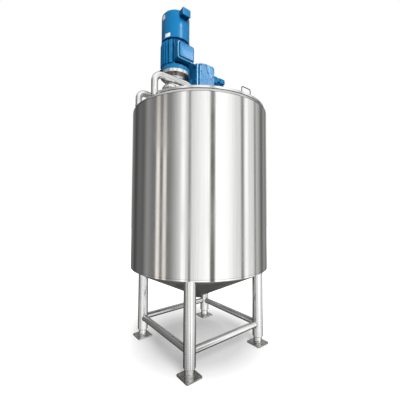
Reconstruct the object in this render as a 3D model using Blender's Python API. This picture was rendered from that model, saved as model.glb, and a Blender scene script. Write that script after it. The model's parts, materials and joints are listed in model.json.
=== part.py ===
# Jacketed mixing tank on four braced legs, with two top drives on a fixed bridge.
# Metres, +Z up. The origin is on the tank's axis at floor level.
# +X runs along the bridge, -Y is the side of the hinged lid flap.

import math

import bmesh
import bpy
from mathutils import Matrix, Vector

# Fits between pieces
SEAM = 0.0003            # clear gap where two pieces meet
PIN_CLEARANCE = 0.0003   # radial play of a hinge pin
FLAP_CLEARANCE = 0.006   # between the flap and the bridge's edge

# Jacket and vessel
CLADDING_RADIUS = 0.650
CLADDING_WALL = 0.003
CLADDING_BOTTOM = 0.730
CLADDING_TOP = 2.152
SHOULDER_RISE = 0.024
SHOULDER_DEPTH = 0.012
SHOULDER_WALL = 0.003
JACKET_WIDTH = 0.058     # from the vessel's wall to the cladding's outer face
VESSEL_WALL = 0.006
RIM_WIDTH = 0.026
RIM_HEIGHT = 0.023
BOTTOM_RING_WALL = 0.006
BOTTOM_RING_LIFT = 0.010

# Conical bottom with a rounded knuckle, and its outlet
HEAD_DROP = 0.015        # from the cladding's lower edge to the knuckle
KNUCKLE_RADIUS = 0.030
CONE_ANGLE = math.radians(26.0)
HEAD_WALL = 0.005
OUTLET_RADIUS = 0.0255
OUTLET_WALL = 0.0025
OUTLET_LENGTH = 0.012
OUTLET_COLLAR_RADIUS = 0.032
OUTLET_COLLAR_HEIGHT = 0.005

# Legs, feet and braces
LEG_INSET = 0.0277       # from the vessel's wall to a leg's centre
LEG_RADIUS = 0.048
LEG_BOTTOM = 0.071
LEG_EDGE = 0.003
FOOT_TUBE_RADIUS = 0.037
PLATE_SIDE = 0.146
PLATE_THICKNESS = 0.012
PLATE_CORNER = 0.012
BOLT_HOLE_RADIUS = 0.008
BOLT_SPACING = 0.106
BRACE_RADIUS = 0.028
BRACE_HEIGHT = 0.184

# Lid: a fixed bridge between two half lids with turned-down edges
BRIDGE_HALF_WIDTH = 0.200
BRIDGE_THICKNESS = 0.008
LID_OVERHANG = 0.040
LID_THICKNESS = 0.005
SKIRT_WALL = 0.003
SKIRT_DEPTH = 0.018
HANDLE_X = 0.020
HANDLE_LENGTH = 0.104
HANDLE_HEIGHT = 0.064
HANDLE_ROD = 0.004
HANDLE_BEND = 0.014
HANDLE_INSET = 0.035     # from the flap's edge to the handle's feet

# Hinges of the flap
HINGE_AXIS_Y = -0.192
HINGE_AXIS_LIFT = 0.020  # above the bridge plate
HINGE_X = 0.330
HINGE_PIN_RADIUS = 0.005
HINGE_NOSE_RADIUS = 0.012
HINGE_BRACKET_WIDTH = 0.030
HINGE_BRACKET_DEPTH = 0.055
HINGE_LEAF_WIDTH = 0.070
HINGE_KNUCKLE_RADIUS = 0.010
HINGE_SIDE_PLAY = 0.002
HINGE_LEAF_REACH = 0.045
HINGE_LEAF_EDGE = 0.005
KNUCKLE_START = math.radians(110)    # from level, below the axis

# Gooseneck pipes from the jacket to the bridge
PIPE_RADIUS = 0.028
PIPE_BRIDGE_CLEARANCE = 0.0015
TALL_PIPE_Y = -0.168
TALL_PIPE_HEIGHT = 0.196  # its level run's centre above the shoulder
TALL_PIPE_BEND = 0.072
TALL_PIPE_END_X = -0.225  # where it comes down, between the hinge and the gearbox
LOW_PIPE_Y = 0.094
LOW_PIPE_HEIGHT = 0.126
LOW_PIPE_BEND = 0.058
LOW_PIPE_REACH = 0.148    # from its foot to where it comes down

# Capped nozzle on the bridge, under the tall pipe
NOZZLE_X = -0.430
NOZZLE_Y = -0.132
NOZZLE_RADIUS = 0.050
NOZZLE_HEIGHT = 0.088
CAP_RADIUS = 0.060
CAP_EDGE = 0.014
CAP_RISE = 0.024

# Upright mixer drive
MIXER_X = -0.295
NECK_RADIUS = 0.072
NECK_FLANGE_RADIUS = 0.100
NECK_FLANGE_THICKNESS = 0.014
NECK_HEIGHT = 0.282
MIXER_FLANGE_RADIUS = 0.140
MIXER_FLANGE_THICKNESS = 0.026
END_SHIELD_RADIUS = 0.136
END_SHIELD_HEIGHT = 0.049
END_SHIELD_SLOPE = 0.008
MOTOR_BODY_RADIUS = 0.128
MOTOR_FIN_DEPTH = 0.012
MOTOR_FIN_COUNT = 32
FIN_ROOT_SHARE = 0.30     # half a fin's width at its root, as a share of the pitch
FIN_TIP_SHARE = 0.16
MOTOR_BODY_HEIGHT = 0.238
COWL_RADIUS = 0.131
COWL_HEIGHT = 0.266
COWL_EDGE = 0.018
BOX_STAND = 0.050        # from the fins' tips to the box's front
BOX_WIDTH = 0.175
BOX_HEIGHT = 0.152
BOX_LIFT = 0.016         # above the finned body's lower end
BOX_COVER = 0.014
BOX_COVER_EDGE = 0.003
TOP_BOX_STAND = 0.053
TOP_BOX_WIDTH = 0.088
TOP_BOX_HEIGHT = 0.070
TOP_BOX_SINK = 0.012     # below the cowl's top

# Agitator gearbox with its lying motor
GEARBOX_X = -0.0015
GEARBOX_LENGTH = 0.187
GEARBOX_HALF_DEPTH = 0.120
GEARBOX_HEIGHT = 0.421   # of the housing above its foot
GEARBOX_SLOPE_RUN = 0.075
GEARBOX_SLOPE_DROP = 0.018
GEARBOX_FOOT_RADIUS = 0.090
GEARBOX_FOOT_HEIGHT = 0.053
CASTING_EDGE = 0.004
HUB_LENGTH = 0.026
HUB_HALF_DEPTH = 0.095
HUB_INSET = 0.035
COVER_THICKNESS = 0.017
COVER_HALF_DEPTH = 0.130
COVER_DROP = 0.042       # from the housing's top to the cover's
COVER_LIFT = 0.069       # from the housing's bottom to the cover's
BLOCK_LENGTH = 0.146
BLOCK_DROP = 0.079       # from the housing's top to the block's
BLOCK_LIFT = 0.119       # from the housing's bottom to the block's
BLOCK_HALF_DEPTH = 0.119
LYING_MOTOR_LIFT = 0.209 # from the housing's bottom to the motor's axis
LYING_MOTOR_RADIUS = 0.085
LYING_COWL_EDGE = 0.010
ADAPTER_RADIUS = 0.090
ADAPTER_LENGTH = 0.050
LYING_MOTOR_LENGTH = 0.170
LYING_COWL_LENGTH = 0.095

# Roundness
BIG_SEGMENTS = 96
MACHINE_SEGMENTS = 48
TUBE_SEGMENTS = 32
PIN_SEGMENTS = 24
HOLE_SEGMENTS = 16
BEND_STEPS = 6
CORNER_STEPS = 4
SHOULDER_STEPS = 3
HEAD_STEPS = 3
KNUCKLE_STEPS = 16
BRIDGE_END_STEPS = 8

# Radii and heights that follow from the sizes above
CLADDING_INNER = CLADDING_RADIUS - CLADDING_WALL
VESSEL_RADIUS = CLADDING_RADIUS - JACKET_WIDTH
RIM_INNER = VESSEL_RADIUS - RIM_WIDTH
LID_RADIUS = VESSEL_RADIUS + LID_OVERHANG
LEG_OFFSET = (VESSEL_RADIUS - LEG_INSET) / math.sqrt(2)
HEAD_TOP = CLADDING_BOTTOM - HEAD_DROP
SHOULDER_TOP = CLADDING_TOP + SEAM + SHOULDER_RISE
RIM_BOTTOM = SHOULDER_TOP + SEAM
RIM_TOP = RIM_BOTTOM + RIM_HEIGHT
LID_BOTTOM = RIM_TOP + SEAM
LID_TOP = LID_BOTTOM + LID_THICKNESS
BRIDGE_TOP = LID_BOTTOM + BRIDGE_THICKNESS
BRIDGE_RADIUS = VESSEL_RADIUS
HINGE_AXIS_Z = BRIDGE_TOP + HINGE_AXIS_LIFT
PIPE_RING = BRIDGE_RADIUS + PIPE_BRIDGE_CLEARANCE + PIPE_RADIUS
LEG_PLACES = {
    "front": (-LEG_OFFSET, -LEG_OFFSET),
    "right": (LEG_OFFSET, -LEG_OFFSET),
    "back": (LEG_OFFSET, LEG_OFFSET),
    "left": (-LEG_OFFSET, LEG_OFFSET),
}


def clear_scene():
    for old in list(bpy.data.objects):
        bpy.data.objects.remove(old, do_unlink=True)


def make_material(name, colour, roughness, metallic):
    material = bpy.data.materials.new(name)
    material.use_nodes = True
    shader = material.node_tree.nodes["Principled BSDF"]
    shader.inputs["Base Color"].default_value = (*colour, 1.0)
    shader.inputs["Roughness"].default_value = roughness
    shader.inputs["Metallic"].default_value = metallic
    return material


STEEL = ((0.72, 0.72, 0.71), 0.28, 1.0)
DARK_STEEL = ((0.20, 0.20, 0.20), 0.55, 0.8)
BLUE = ((0.12, 0.33, 0.62), 0.45, 0.0)


def finish(name, mesh, look, sharp_angle=math.radians(35)):
    """Puts a finished mesh into the scene as one named, shaded object."""
    mesh.materials.append(make_material(name, *look))
    mesh.shade_smooth()
    mesh.set_sharp_from_angle(angle=sharp_angle)
    piece = bpy.data.objects.new(name, mesh)
    bpy.context.collection.objects.link(piece)
    return piece


def mesh_from(bm, name):
    bmesh.ops.recalc_face_normals(bm, faces=bm.faces)
    mesh = bpy.data.meshes.new(name)
    bm.to_mesh(mesh)
    bm.free()
    return mesh


def turned(name, profile, look, segments=BIG_SEGMENTS, centre=(0.0, 0.0, 0.0), axis="Z"):
    """A solid of revolution; the profile is a closed outline of (radius, height) pairs."""
    bm = bmesh.new()
    corners = [bm.verts.new((radius, 0.0, height)) for radius, height in profile]
    outline = [bm.edges.new(pair) for pair in zip(corners, corners[1:] + corners[:1])
               if pair[0].co.x > 0.0 or pair[1].co.x > 0.0]
    bmesh.ops.spin(bm, geom=corners + outline, cent=(0, 0, 0), axis=(0, 0, 1),
                   angle=math.tau, steps=segments, use_merge=True)
    bmesh.ops.remove_doubles(bm, verts=bm.verts, dist=0.00001)
    if axis == "Y":
        bmesh.ops.rotate(bm, verts=bm.verts, matrix=Matrix.Rotation(math.radians(-90), 3, "X"))
    piece = finish(name, mesh_from(bm, name), look)
    piece.location = centre
    return piece


def rod(name, radius, start, end, look, segments=TUBE_SEGMENTS, edge=0.0):
    """A plain round bar from one point to another, with an optional chamfer at both ends."""
    start, end = Vector(start), Vector(end)
    length = (end - start).length
    profile = [(0.0, 0.0), (radius - edge, 0.0), (radius, edge), (radius, length - edge),
               (radius - edge, length), (0.0, length)]
    if edge == 0.0:
        profile = [(0.0, 0.0), (radius, 0.0), (radius, length), (0.0, length)]
    piece = turned(name, profile, look, segments)
    piece.rotation_euler = (end - start).to_track_quat("Z", "Y").to_euler()
    piece.location = start
    return piece


def extruded(name, outline, axis, low, high, look, edge=0.0):
    """A prism: an outline in the plane across the axis, drawn out from low to high."""
    place = {
        "X": lambda u, v, w: (w, u, v),
        "Y": lambda u, v, w: (u, w, v),
        "Z": lambda u, v, w: (u, v, w),
    }[axis]
    bm = bmesh.new()
    face = bm.faces.new([bm.verts.new(place(u, v, low)) for u, v in outline])
    drawn = bmesh.ops.extrude_face_region(bm, geom=[face])
    moved = [item for item in drawn["geom"] if isinstance(item, bmesh.types.BMVert)]
    bmesh.ops.translate(bm, verts=moved, vec=place(0.0, 0.0, high - low))
    piece = finish(name, mesh_from(bm, name), look)
    if edge > 0.0:
        add_bevel(piece, edge)
    return piece


def block(name, low, high, look, edge=0.0):
    outline = [(low[0], low[1]), (high[0], low[1]), (high[0], high[1]), (low[0], high[1])]
    return extruded(name, outline, "Z", low[2], high[2], look, edge)


def add_bevel(piece, width, segments=1):
    bevel = piece.modifiers.new("rounded edges", "BEVEL")
    bevel.width = width
    bevel.segments = segments
    bevel.limit_method = "ANGLE"
    bevel.angle_limit = math.radians(40)
    return bevel


def as_cutter(piece):
    piece.hide_render = True
    piece.display_type = "WIRE"
    return piece


def cut(piece, cutter, operation="DIFFERENCE"):
    boolean = piece.modifiers.new("cut by " + cutter.name, "BOOLEAN")
    boolean.operation = operation
    boolean.solver = "EXACT"
    boolean.object = as_cutter(cutter)


def arc(centre, radius, first, last, steps=BEND_STEPS):
    """Points along an arc in a plane, both ends included."""
    return [(centre[0] + radius * math.cos(first + (last - first) * k / steps),
             centre[1] + radius * math.sin(first + (last - first) * k / steps))
            for k in range(steps + 1)]


def head_line(offset):
    """The bottom head's surface from the vessel wall to the outlet, moved out by offset."""
    knuckle = KNUCKLE_RADIUS + offset
    centre = (VESSEL_RADIUS - KNUCKLE_RADIUS, HEAD_TOP)
    bend = arc(centre, knuckle, 0.0, -(math.pi / 2 - CONE_ANGLE), HEAD_STEPS)
    last_radius, last_height = bend[-1]
    run = last_radius - OUTLET_RADIUS - OUTLET_WALL - SEAM
    tip = (last_radius - run, last_height - run * math.tan(CONE_ANGLE))
    return bend + [tip]


def shoulder_line(lift):
    """The shoulder's rounded outer edge, from the cladding up to its flat top."""
    foot = CLADDING_TOP + SEAM
    turns = [k * math.pi / 2 / SHOULDER_STEPS for k in range(SHOULDER_STEPS + 1)]
    return [(CLADDING_RADIUS + lift - SHOULDER_DEPTH * (1.0 - math.cos(turn)),
             foot + lift + SHOULDER_RISE * math.sin(turn)) for turn in turns]


def build_jacket():
    turned("jacket_shell", [
        (CLADDING_INNER, CLADDING_BOTTOM), (CLADDING_RADIUS, CLADDING_BOTTOM),
        (CLADDING_RADIUS, CLADDING_TOP), (CLADDING_INNER, CLADDING_TOP)], STEEL)
    inner = VESSEL_RADIUS + SEAM
    bend = shoulder_line(0.0)
    under = [(radius - SHOULDER_WALL, height - SHOULDER_WALL) for radius, height in bend[:0:-1]]
    turned("shoulder_ring", bend + [(inner, SHOULDER_TOP), (inner, SHOULDER_TOP - SHOULDER_WALL)]
           + under + [(CLADDING_INNER, bend[0][1])], STEEL)
    ring_low = CLADDING_BOTTOM + BOTTOM_RING_LIFT
    ring_high = ring_low + BOTTOM_RING_WALL
    ring_outer = CLADDING_INNER - SEAM
    turned("bottom_ring", [
        (inner, ring_low), (ring_outer, ring_low), (ring_outer, ring_high), (inner, ring_high)], STEEL)


def build_vessel():
    inner = VESSEL_RADIUS - VESSEL_WALL
    turned("vessel_wall", [
        (inner, HEAD_TOP + SEAM), (VESSEL_RADIUS, HEAD_TOP + SEAM),
        (VESSEL_RADIUS, RIM_BOTTOM - SEAM), (inner, RIM_BOTTOM - SEAM)], STEEL)
    turned("rim_ring", [
        (RIM_INNER, RIM_BOTTOM), (VESSEL_RADIUS, RIM_BOTTOM), (VESSEL_RADIUS, RIM_TOP),
        (RIM_INNER, RIM_TOP)], STEEL)
    outside = head_line(0.0)
    inside = head_line(-HEAD_WALL)
    turned("bottom_cone", outside + inside[::-1], DARK_STEEL)
    tip_inside = inside[-1][1]
    outlet_low = outside[-1][1] - OUTLET_LENGTH
    collar_high = outlet_low + OUTLET_COLLAR_HEIGHT
    wall = OUTLET_RADIUS + OUTLET_WALL
    turned("outlet_stub", [
        (OUTLET_RADIUS, outlet_low), (OUTLET_COLLAR_RADIUS, outlet_low),
        (OUTLET_COLLAR_RADIUS, collar_high), (wall, collar_high), (wall, tip_inside),
        (OUTLET_RADIUS, tip_inside)], DARK_STEEL, TUBE_SEGMENTS)


def build_leg(side, x, y):
    top = CLADDING_BOTTOM + BOTTOM_RING_LIFT - SEAM
    leg = rod("leg_" + side, LEG_RADIUS, (x, y, LEG_BOTTOM), (x, y, top), STEEL, edge=LEG_EDGE)
    line = head_line(SEAM)
    above = top + LEG_RADIUS
    shape = turned("head_clearance_" + side, [
        (0.0, above), (VESSEL_RADIUS + SEAM, above)] + line + [(0.0, line[-1][1])], DARK_STEEL)
    cut(leg, shape)
    half = PLATE_SIDE / 2
    corner = half - PLATE_CORNER
    outline = []
    for quarter in range(4):
        turn = quarter * math.pi / 2
        corner_x = x + (corner if quarter in (0, 3) else -corner)
        corner_y = y + (corner if quarter in (0, 1) else -corner)
        outline += arc((corner_x, corner_y), PLATE_CORNER, turn, turn + math.pi / 2, CORNER_STEPS)
    plate = extruded("foot_" + side, outline, "Z", 0.0, PLATE_THICKNESS, STEEL)
    tube = rod("foot_tube_" + side, FOOT_TUBE_RADIUS, (x, y, PLATE_THICKNESS / 2),
               (x, y, LEG_BOTTOM - SEAM), STEEL, PIN_SEGMENTS)
    cut(plate, tube, "UNION")
    for along in (-1, 1):
        for across in (-1, 1):
            hole_x = x + along * BOLT_SPACING / 2
            hole_y = y + across * BOLT_SPACING / 2
            hole = rod("bolt_hole_%s_%d_%d" % (side, along, across), BOLT_HOLE_RADIUS,
                       (hole_x, hole_y, -PLATE_THICKNESS), (hole_x, hole_y, 2 * PLATE_THICKNESS),
                       STEEL, HOLE_SEGMENTS)
            cut(plate, hole)


def build_brace(name, first, second):
    start = (*LEG_PLACES[first], BRACE_HEIGHT)
    end = (*LEG_PLACES[second], BRACE_HEIGHT)
    brace = rod(name, BRACE_RADIUS, start, end, STEEL)
    low = BRACE_HEIGHT - 2 * BRACE_RADIUS
    high = BRACE_HEIGHT + 2 * BRACE_RADIUS
    for side in (first, second):
        x, y = LEG_PLACES[side]
        around = rod("clearance_" + name + "_" + side, LEG_RADIUS + SEAM, (x, y, low), (x, y, high), STEEL)
        cut(brace, around)


def round_segment(low_y, high_y, radius, steps):
    """Outline of the part of a disc between two lines across Y."""
    def side(y):
        return math.asin(max(-1.0, min(1.0, y / radius)))
    right = arc((0.0, 0.0), radius, side(low_y), side(high_y), steps)
    left = arc((0.0, 0.0), radius, math.pi - side(high_y), math.pi - side(low_y), steps)
    outline = right + left
    return [point for k, point in enumerate(outline)
            if math.dist(point, outline[k - 1]) > 0.0001]


def build_lid():
    outline = round_segment(-BRIDGE_HALF_WIDTH, BRIDGE_HALF_WIDTH, BRIDGE_RADIUS, BRIDGE_END_STEPS)
    extruded("bridge_plate", outline, "Z", LID_BOTTOM, BRIDGE_TOP, STEEL)
    lid_profile = [
        (0.0, LID_BOTTOM), (LID_RADIUS - SKIRT_WALL, LID_BOTTOM),
        (LID_RADIUS - SKIRT_WALL, LID_TOP - SKIRT_DEPTH), (LID_RADIUS, LID_TOP - SKIRT_DEPTH),
        (LID_RADIUS, LID_TOP), (0.0, LID_TOP)]
    beyond = 2 * LID_RADIUS
    low = LID_BOTTOM - beyond
    high = LID_TOP + beyond
    flap_edge = -BRIDGE_HALF_WIDTH - FLAP_CLEARANCE
    flap = turned("front_flap", lid_profile, STEEL)
    cut(flap, block("behind_flap", (-beyond, flap_edge, low), (beyond, beyond, high), STEEL))
    rear_edge = BRIDGE_HALF_WIDTH + SEAM
    rear = turned("rear_lid", lid_profile, STEEL)
    cut(rear, block("before_rear_lid", (-beyond, -beyond, low), (beyond, rear_edge, high), STEEL))


def build_nozzle():
    centre = (NOZZLE_X, NOZZLE_Y, 0.0)
    low = BRIDGE_TOP + SEAM
    neck_high = low + NOZZLE_HEIGHT
    turned("nozzle_neck", [
        (0.0, low), (NOZZLE_RADIUS, low), (NOZZLE_RADIUS, neck_high), (0.0, neck_high)],
        STEEL, MACHINE_SEGMENTS, centre)
    cap_low = neck_high + SEAM
    cap_high = cap_low + CAP_EDGE
    turns = [k * math.pi / 2 / CORNER_STEPS for k in range(CORNER_STEPS)]
    dome = [(CAP_RADIUS * math.cos(turn), cap_high + CAP_RISE * math.sin(turn)) for turn in turns]
    turned("nozzle_cap", [(0.0, cap_low), (CAP_RADIUS, cap_low)] + dome
           + [(0.0, cap_high + CAP_RISE)], STEEL, MACHINE_SEGMENTS, centre)


def bent_rod(name, points, radius, look, segments=12):
    """A round bar along a line of points, with flat ends."""
    curve = bpy.data.curves.new(name, "CURVE")
    curve.dimensions = "3D"
    curve.bevel_depth = radius
    curve.bevel_resolution = (segments - 4) // 2
    curve.use_fill_caps = True
    spline = curve.splines.new("POLY")
    spline.points.add(len(points) - 1)
    for point, place in zip(spline.points, points):
        point.co = (*place, 1.0)
    guide = bpy.data.objects.new(name + "_route", curve)
    bpy.context.collection.objects.link(guide)
    bpy.context.view_layer.update()
    solid = guide.evaluated_get(bpy.context.evaluated_depsgraph_get())
    mesh = bpy.data.meshes.new_from_object(solid)
    bpy.data.objects.remove(guide, do_unlink=True)
    bm = bmesh.new()
    bm.from_mesh(mesh)
    bmesh.ops.remove_doubles(bm, verts=bm.verts, dist=0.00001)
    return finish(name, mesh_from(bm, name), look)


def build_handle():
    foot_y = -(LID_RADIUS - HANDLE_INSET)
    half = HANDLE_LENGTH / 2
    low = LID_TOP + SEAM
    high = low + HANDLE_HEIGHT
    left = arc((-half + HANDLE_BEND, high - HANDLE_BEND), HANDLE_BEND, math.pi, math.pi / 2)
    right = arc((half - HANDLE_BEND, high - HANDLE_BEND), HANDLE_BEND, math.pi / 2, 0.0)
    route = [(-half, low)] + left + right + [(half, low)]
    bent_rod("flap_handle", [(HANDLE_X + x, foot_y, z) for x, z in route], HANDLE_ROD, STEEL)


def build_hinge(side, direction):
    """One hinge; direction is -1 on the left end of the bridge and 1 on the right end."""
    axis = (HINGE_AXIS_Y, HINGE_AXIS_Z)
    outer = direction * (HINGE_X + HINGE_BRACKET_WIDTH)
    inner = direction * HINGE_X
    low = BRIDGE_TOP + SEAM
    back = -BRIDGE_HALF_WIDTH + HINGE_BRACKET_DEPTH
    nose = arc(axis, HINGE_NOSE_RADIUS, math.pi, math.pi / 2)
    outline = [(back, low), (axis[0] - HINGE_NOSE_RADIUS / 2, low),
               (axis[0] - HINGE_NOSE_RADIUS, axis[1] - HINGE_NOSE_RADIUS / 2)] + nose
    outline += arc((back - HINGE_NOSE_RADIUS, axis[1]), HINGE_NOSE_RADIUS, math.pi / 2, 0.0)
    bracket = extruded("hinge_bracket_" + side, outline, "X", min(outer, inner), max(outer, inner),
                       DARK_STEEL)
    pin_start = direction * (HINGE_X + HINGE_BRACKET_WIDTH / 2)
    pin_end = direction * (HINGE_X - HINGE_SIDE_PLAY - HINGE_LEAF_WIDTH - HINGE_SIDE_PLAY)
    pin = rod("hinge_pin_" + side, HINGE_PIN_RADIUS, (pin_start, *axis), (pin_end, *axis), DARK_STEEL,
              PIN_SEGMENTS)
    cut(bracket, pin, "UNION")
    leaf_near = direction * (HINGE_X - HINGE_SIDE_PLAY)
    leaf_far = leaf_near - direction * HINGE_LEAF_WIDTH
    seat = LID_TOP + SEAM
    leaf_back = -BRIDGE_HALF_WIDTH - FLAP_CLEARANCE - HINGE_SIDE_PLAY
    leaf = [(leaf_back - HINGE_LEAF_REACH, seat), (leaf_back, seat)]
    leaf += arc(axis, HINGE_KNUCKLE_RADIUS, -KNUCKLE_START, math.pi, KNUCKLE_STEPS)
    leaf += [(leaf_back - HINGE_LEAF_REACH, seat + HINGE_LEAF_EDGE)]
    knuckle = extruded("hinge_leaf_" + side, leaf, "X", min(leaf_near, leaf_far),
                       max(leaf_near, leaf_far), STEEL)
    bore = rod("hinge_bore_" + side, HINGE_PIN_RADIUS + PIN_CLEARANCE,
               (leaf_near + direction * HINGE_SIDE_PLAY, *axis),
               (leaf_far - direction * HINGE_SIDE_PLAY, *axis), STEEL, PIN_SEGMENTS)
    cut(knuckle, bore)


def shoulder_cutter(name):
    """The space inside the shoulder's outer face, a hair beyond it."""
    line = shoulder_line(2 * SEAM)
    below = CLADDING_TOP - 2 * PIPE_RADIUS
    return turned(name, [(0.0, below), (line[0][0], below)] + line + [(0.0, line[-1][1])], STEEL)


def pipe_foot_x(y):
    """Where a pipe at this Y stands on the shoulder, on the tank's left side."""
    return -math.sqrt(PIPE_RING ** 2 - y ** 2)


def build_gooseneck(name, y, rise_height, bend, end_x):
    """A bent pipe from the shoulder, over and down to the bridge."""
    x = pipe_foot_x(y)
    foot = CLADDING_TOP
    height = SHOULDER_TOP + rise_height
    rise = arc((x + bend, height - bend), bend, math.pi, math.pi / 2)
    fall = arc((end_x - bend, height - bend), bend, math.pi / 2, 0.0)
    route = [(x, foot)] + rise + fall + [(end_x, BRIDGE_TOP + SEAM)]
    pipe = bent_rod(name, [(u, y, v) for u, v in route], PIPE_RADIUS, STEEL, HOLE_SEGMENTS)
    cut(pipe, shoulder_cutter(name + "_foot_line"))


def fin_outline(radius, depth, count):
    """A round casting with plain upright cooling fins."""
    outline = []
    pitch = math.tau / count
    steps = ((-FIN_ROOT_SHARE, 0.0), (-FIN_TIP_SHARE, depth), (FIN_TIP_SHARE, depth),
             (FIN_ROOT_SHARE, 0.0))
    for k in range(count):
        for share, reach in steps:
            angle = (k + share) * pitch
            outline.append(((radius + reach) * math.cos(angle), (radius + reach) * math.sin(angle)))
    return outline


def build_mixer():
    x = MIXER_X
    low = BRIDGE_TOP + SEAM
    flange_low = low + NECK_HEIGHT
    flange_high = flange_low + MIXER_FLANGE_THICKNESS
    turned("mixer_neck", [
        (0.0, low), (NECK_FLANGE_RADIUS, low), (NECK_FLANGE_RADIUS, low + NECK_FLANGE_THICKNESS),
        (NECK_RADIUS, low + NECK_FLANGE_THICKNESS), (NECK_RADIUS, flange_low),
        (MIXER_FLANGE_RADIUS, flange_low), (MIXER_FLANGE_RADIUS, flange_high), (0.0, flange_high)],
        STEEL, MACHINE_SEGMENTS, (x, 0.0, 0.0))
    shield_low = flange_high + SEAM
    shield_high = shield_low + END_SHIELD_HEIGHT
    turned("mixer_end_shield", [
        (0.0, shield_low), (END_SHIELD_RADIUS, shield_low),
        (END_SHIELD_RADIUS, shield_high - END_SHIELD_SLOPE),
        (MOTOR_BODY_RADIUS, shield_high), (0.0, shield_high)], BLUE, MACHINE_SEGMENTS, (x, 0.0, 0.0))
    body_low = shield_high + SEAM
    body_high = body_low + MOTOR_BODY_HEIGHT
    fins = [(x + u, v) for u, v in fin_outline(MOTOR_BODY_RADIUS, MOTOR_FIN_DEPTH, MOTOR_FIN_COUNT)]
    extruded("mixer_motor_body", fins, "Z", body_low, body_high, BLUE)
    cowl_low = body_high + SEAM
    cowl_high = cowl_low + COWL_HEIGHT
    turned("mixer_fan_cowl", [
        (0.0, cowl_low), (COWL_RADIUS, cowl_low), (COWL_RADIUS, cowl_high - COWL_EDGE),
        (COWL_RADIUS - COWL_EDGE, cowl_high), (0.0, cowl_high)], BLUE, MACHINE_SEGMENTS, (x, 0.0, 0.0))
    build_terminal_boxes(body_low, cowl_high)


def build_terminal_boxes(body_low, cowl_high):
    x = MIXER_X
    half = BOX_WIDTH / 2
    low = body_low + BOX_LIFT
    high = low + BOX_HEIGHT
    fin_tips = MOTOR_BODY_RADIUS + MOTOR_FIN_DEPTH
    front = -fin_tips - BOX_STAND
    box = block("mixer_terminal_box", (x - half, front + BOX_COVER, low), (x + half, 0.0, high), BLUE)
    around = rod("body_clearance", fin_tips + SEAM, (x, 0.0, low - BOX_HEIGHT), (x, 0.0, high + BOX_HEIGHT),
                 BLUE, BIG_SEGMENTS)
    cut(box, around)
    cover = block("mixer_box_cover", (x - half, front, low), (x + half, front + BOX_COVER - SEAM, high), BLUE)
    add_bevel(cover, BOX_COVER_EDGE)
    small = TOP_BOX_WIDTH / 2
    top_high = cowl_high - TOP_BOX_SINK
    top_low = top_high - TOP_BOX_HEIGHT
    top_box = block("mixer_top_box", (x - small, -COWL_RADIUS - TOP_BOX_STAND, top_low),
                    (x + small, -COWL_RADIUS / 2, top_high), BLUE)
    cowl_space = rod("cowl_clearance", COWL_RADIUS + SEAM, (x, 0.0, top_low - TOP_BOX_HEIGHT),
                     (x, 0.0, top_high + TOP_BOX_HEIGHT), BLUE, BIG_SEGMENTS)
    cut(top_box, cowl_space)


def build_gearbox():
    low = BRIDGE_TOP + SEAM
    depth = GEARBOX_HALF_DEPTH
    base = low + GEARBOX_FOOT_HEIGHT
    top = base + GEARBOX_HEIGHT
    middle = GEARBOX_X
    left = middle - GEARBOX_LENGTH / 2
    right = middle + GEARBOX_LENGTH / 2
    outline = [(left, base), (right, base), (right, top), (left + GEARBOX_SLOPE_RUN, top),
               (left, top - GEARBOX_SLOPE_DROP)]
    extruded("gearbox_housing", outline, "Y", -depth, depth, BLUE, CASTING_EDGE)
    rod("gearbox_foot", GEARBOX_FOOT_RADIUS, (middle, 0.0, low), (middle, 0.0, base - SEAM), BLUE,
        MACHINE_SEGMENTS, CASTING_EDGE)
    hub_left = left - SEAM - HUB_LENGTH
    cover_low = base + COVER_LIFT
    cover_high = top - COVER_DROP
    cover = block("gearbox_cover", (hub_left - COVER_THICKNESS, -COVER_HALF_DEPTH, cover_low),
                  (hub_left, COVER_HALF_DEPTH, cover_high), BLUE)
    hub_start = hub_left - COVER_THICKNESS / 2
    hub = block("gearbox_hub", (hub_start, -HUB_HALF_DEPTH, cover_low + HUB_INSET),
                (left - SEAM, HUB_HALF_DEPTH, cover_high - HUB_INSET), BLUE)
    cut(cover, hub, "UNION")
    block_left = right + SEAM
    block("gearbox_block", (block_left, -BLOCK_HALF_DEPTH, base + BLOCK_LIFT),
          (block_left + BLOCK_LENGTH, BLOCK_HALF_DEPTH, top - BLOCK_DROP), BLUE, CASTING_EDGE)
    height = base + LYING_MOTOR_LIFT
    start = depth + SEAM
    body_end = ADAPTER_LENGTH + LYING_MOTOR_LENGTH
    turned("gear_motor_body", [
        (0.0, 0.0), (ADAPTER_RADIUS, 0.0), (ADAPTER_RADIUS, ADAPTER_LENGTH),
        (LYING_MOTOR_RADIUS, ADAPTER_LENGTH), (LYING_MOTOR_RADIUS, body_end), (0.0, body_end)],
        BLUE, MACHINE_SEGMENTS, (middle, start, height), "Y")
    cowl_start = start + body_end + SEAM
    rod("gear_motor_cowl", LYING_MOTOR_RADIUS, (middle, cowl_start, height),
        (middle, cowl_start + LYING_COWL_LENGTH, height), BLUE, MACHINE_SEGMENTS, LYING_COWL_EDGE)


def main():
    clear_scene()
    build_jacket()
    build_vessel()
    for side, (x, y) in LEG_PLACES.items():
        build_leg(side, x, y)
    build_brace("brace_front_right", "front", "right")
    build_brace("brace_right_back", "right", "back")
    build_brace("brace_back_left", "back", "left")
    build_brace("brace_left_front", "left", "front")
    build_lid()
    build_handle()
    build_hinge("left", -1)
    build_hinge("right", 1)
    build_gooseneck("tall_gooseneck", TALL_PIPE_Y, TALL_PIPE_HEIGHT, TALL_PIPE_BEND, TALL_PIPE_END_X)
    build_gooseneck("low_gooseneck", LOW_PIPE_Y, LOW_PIPE_HEIGHT, LOW_PIPE_BEND,
                    pipe_foot_x(LOW_PIPE_Y) + LOW_PIPE_REACH)
    build_nozzle()
    build_mixer()
    build_gearbox()


main()
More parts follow.
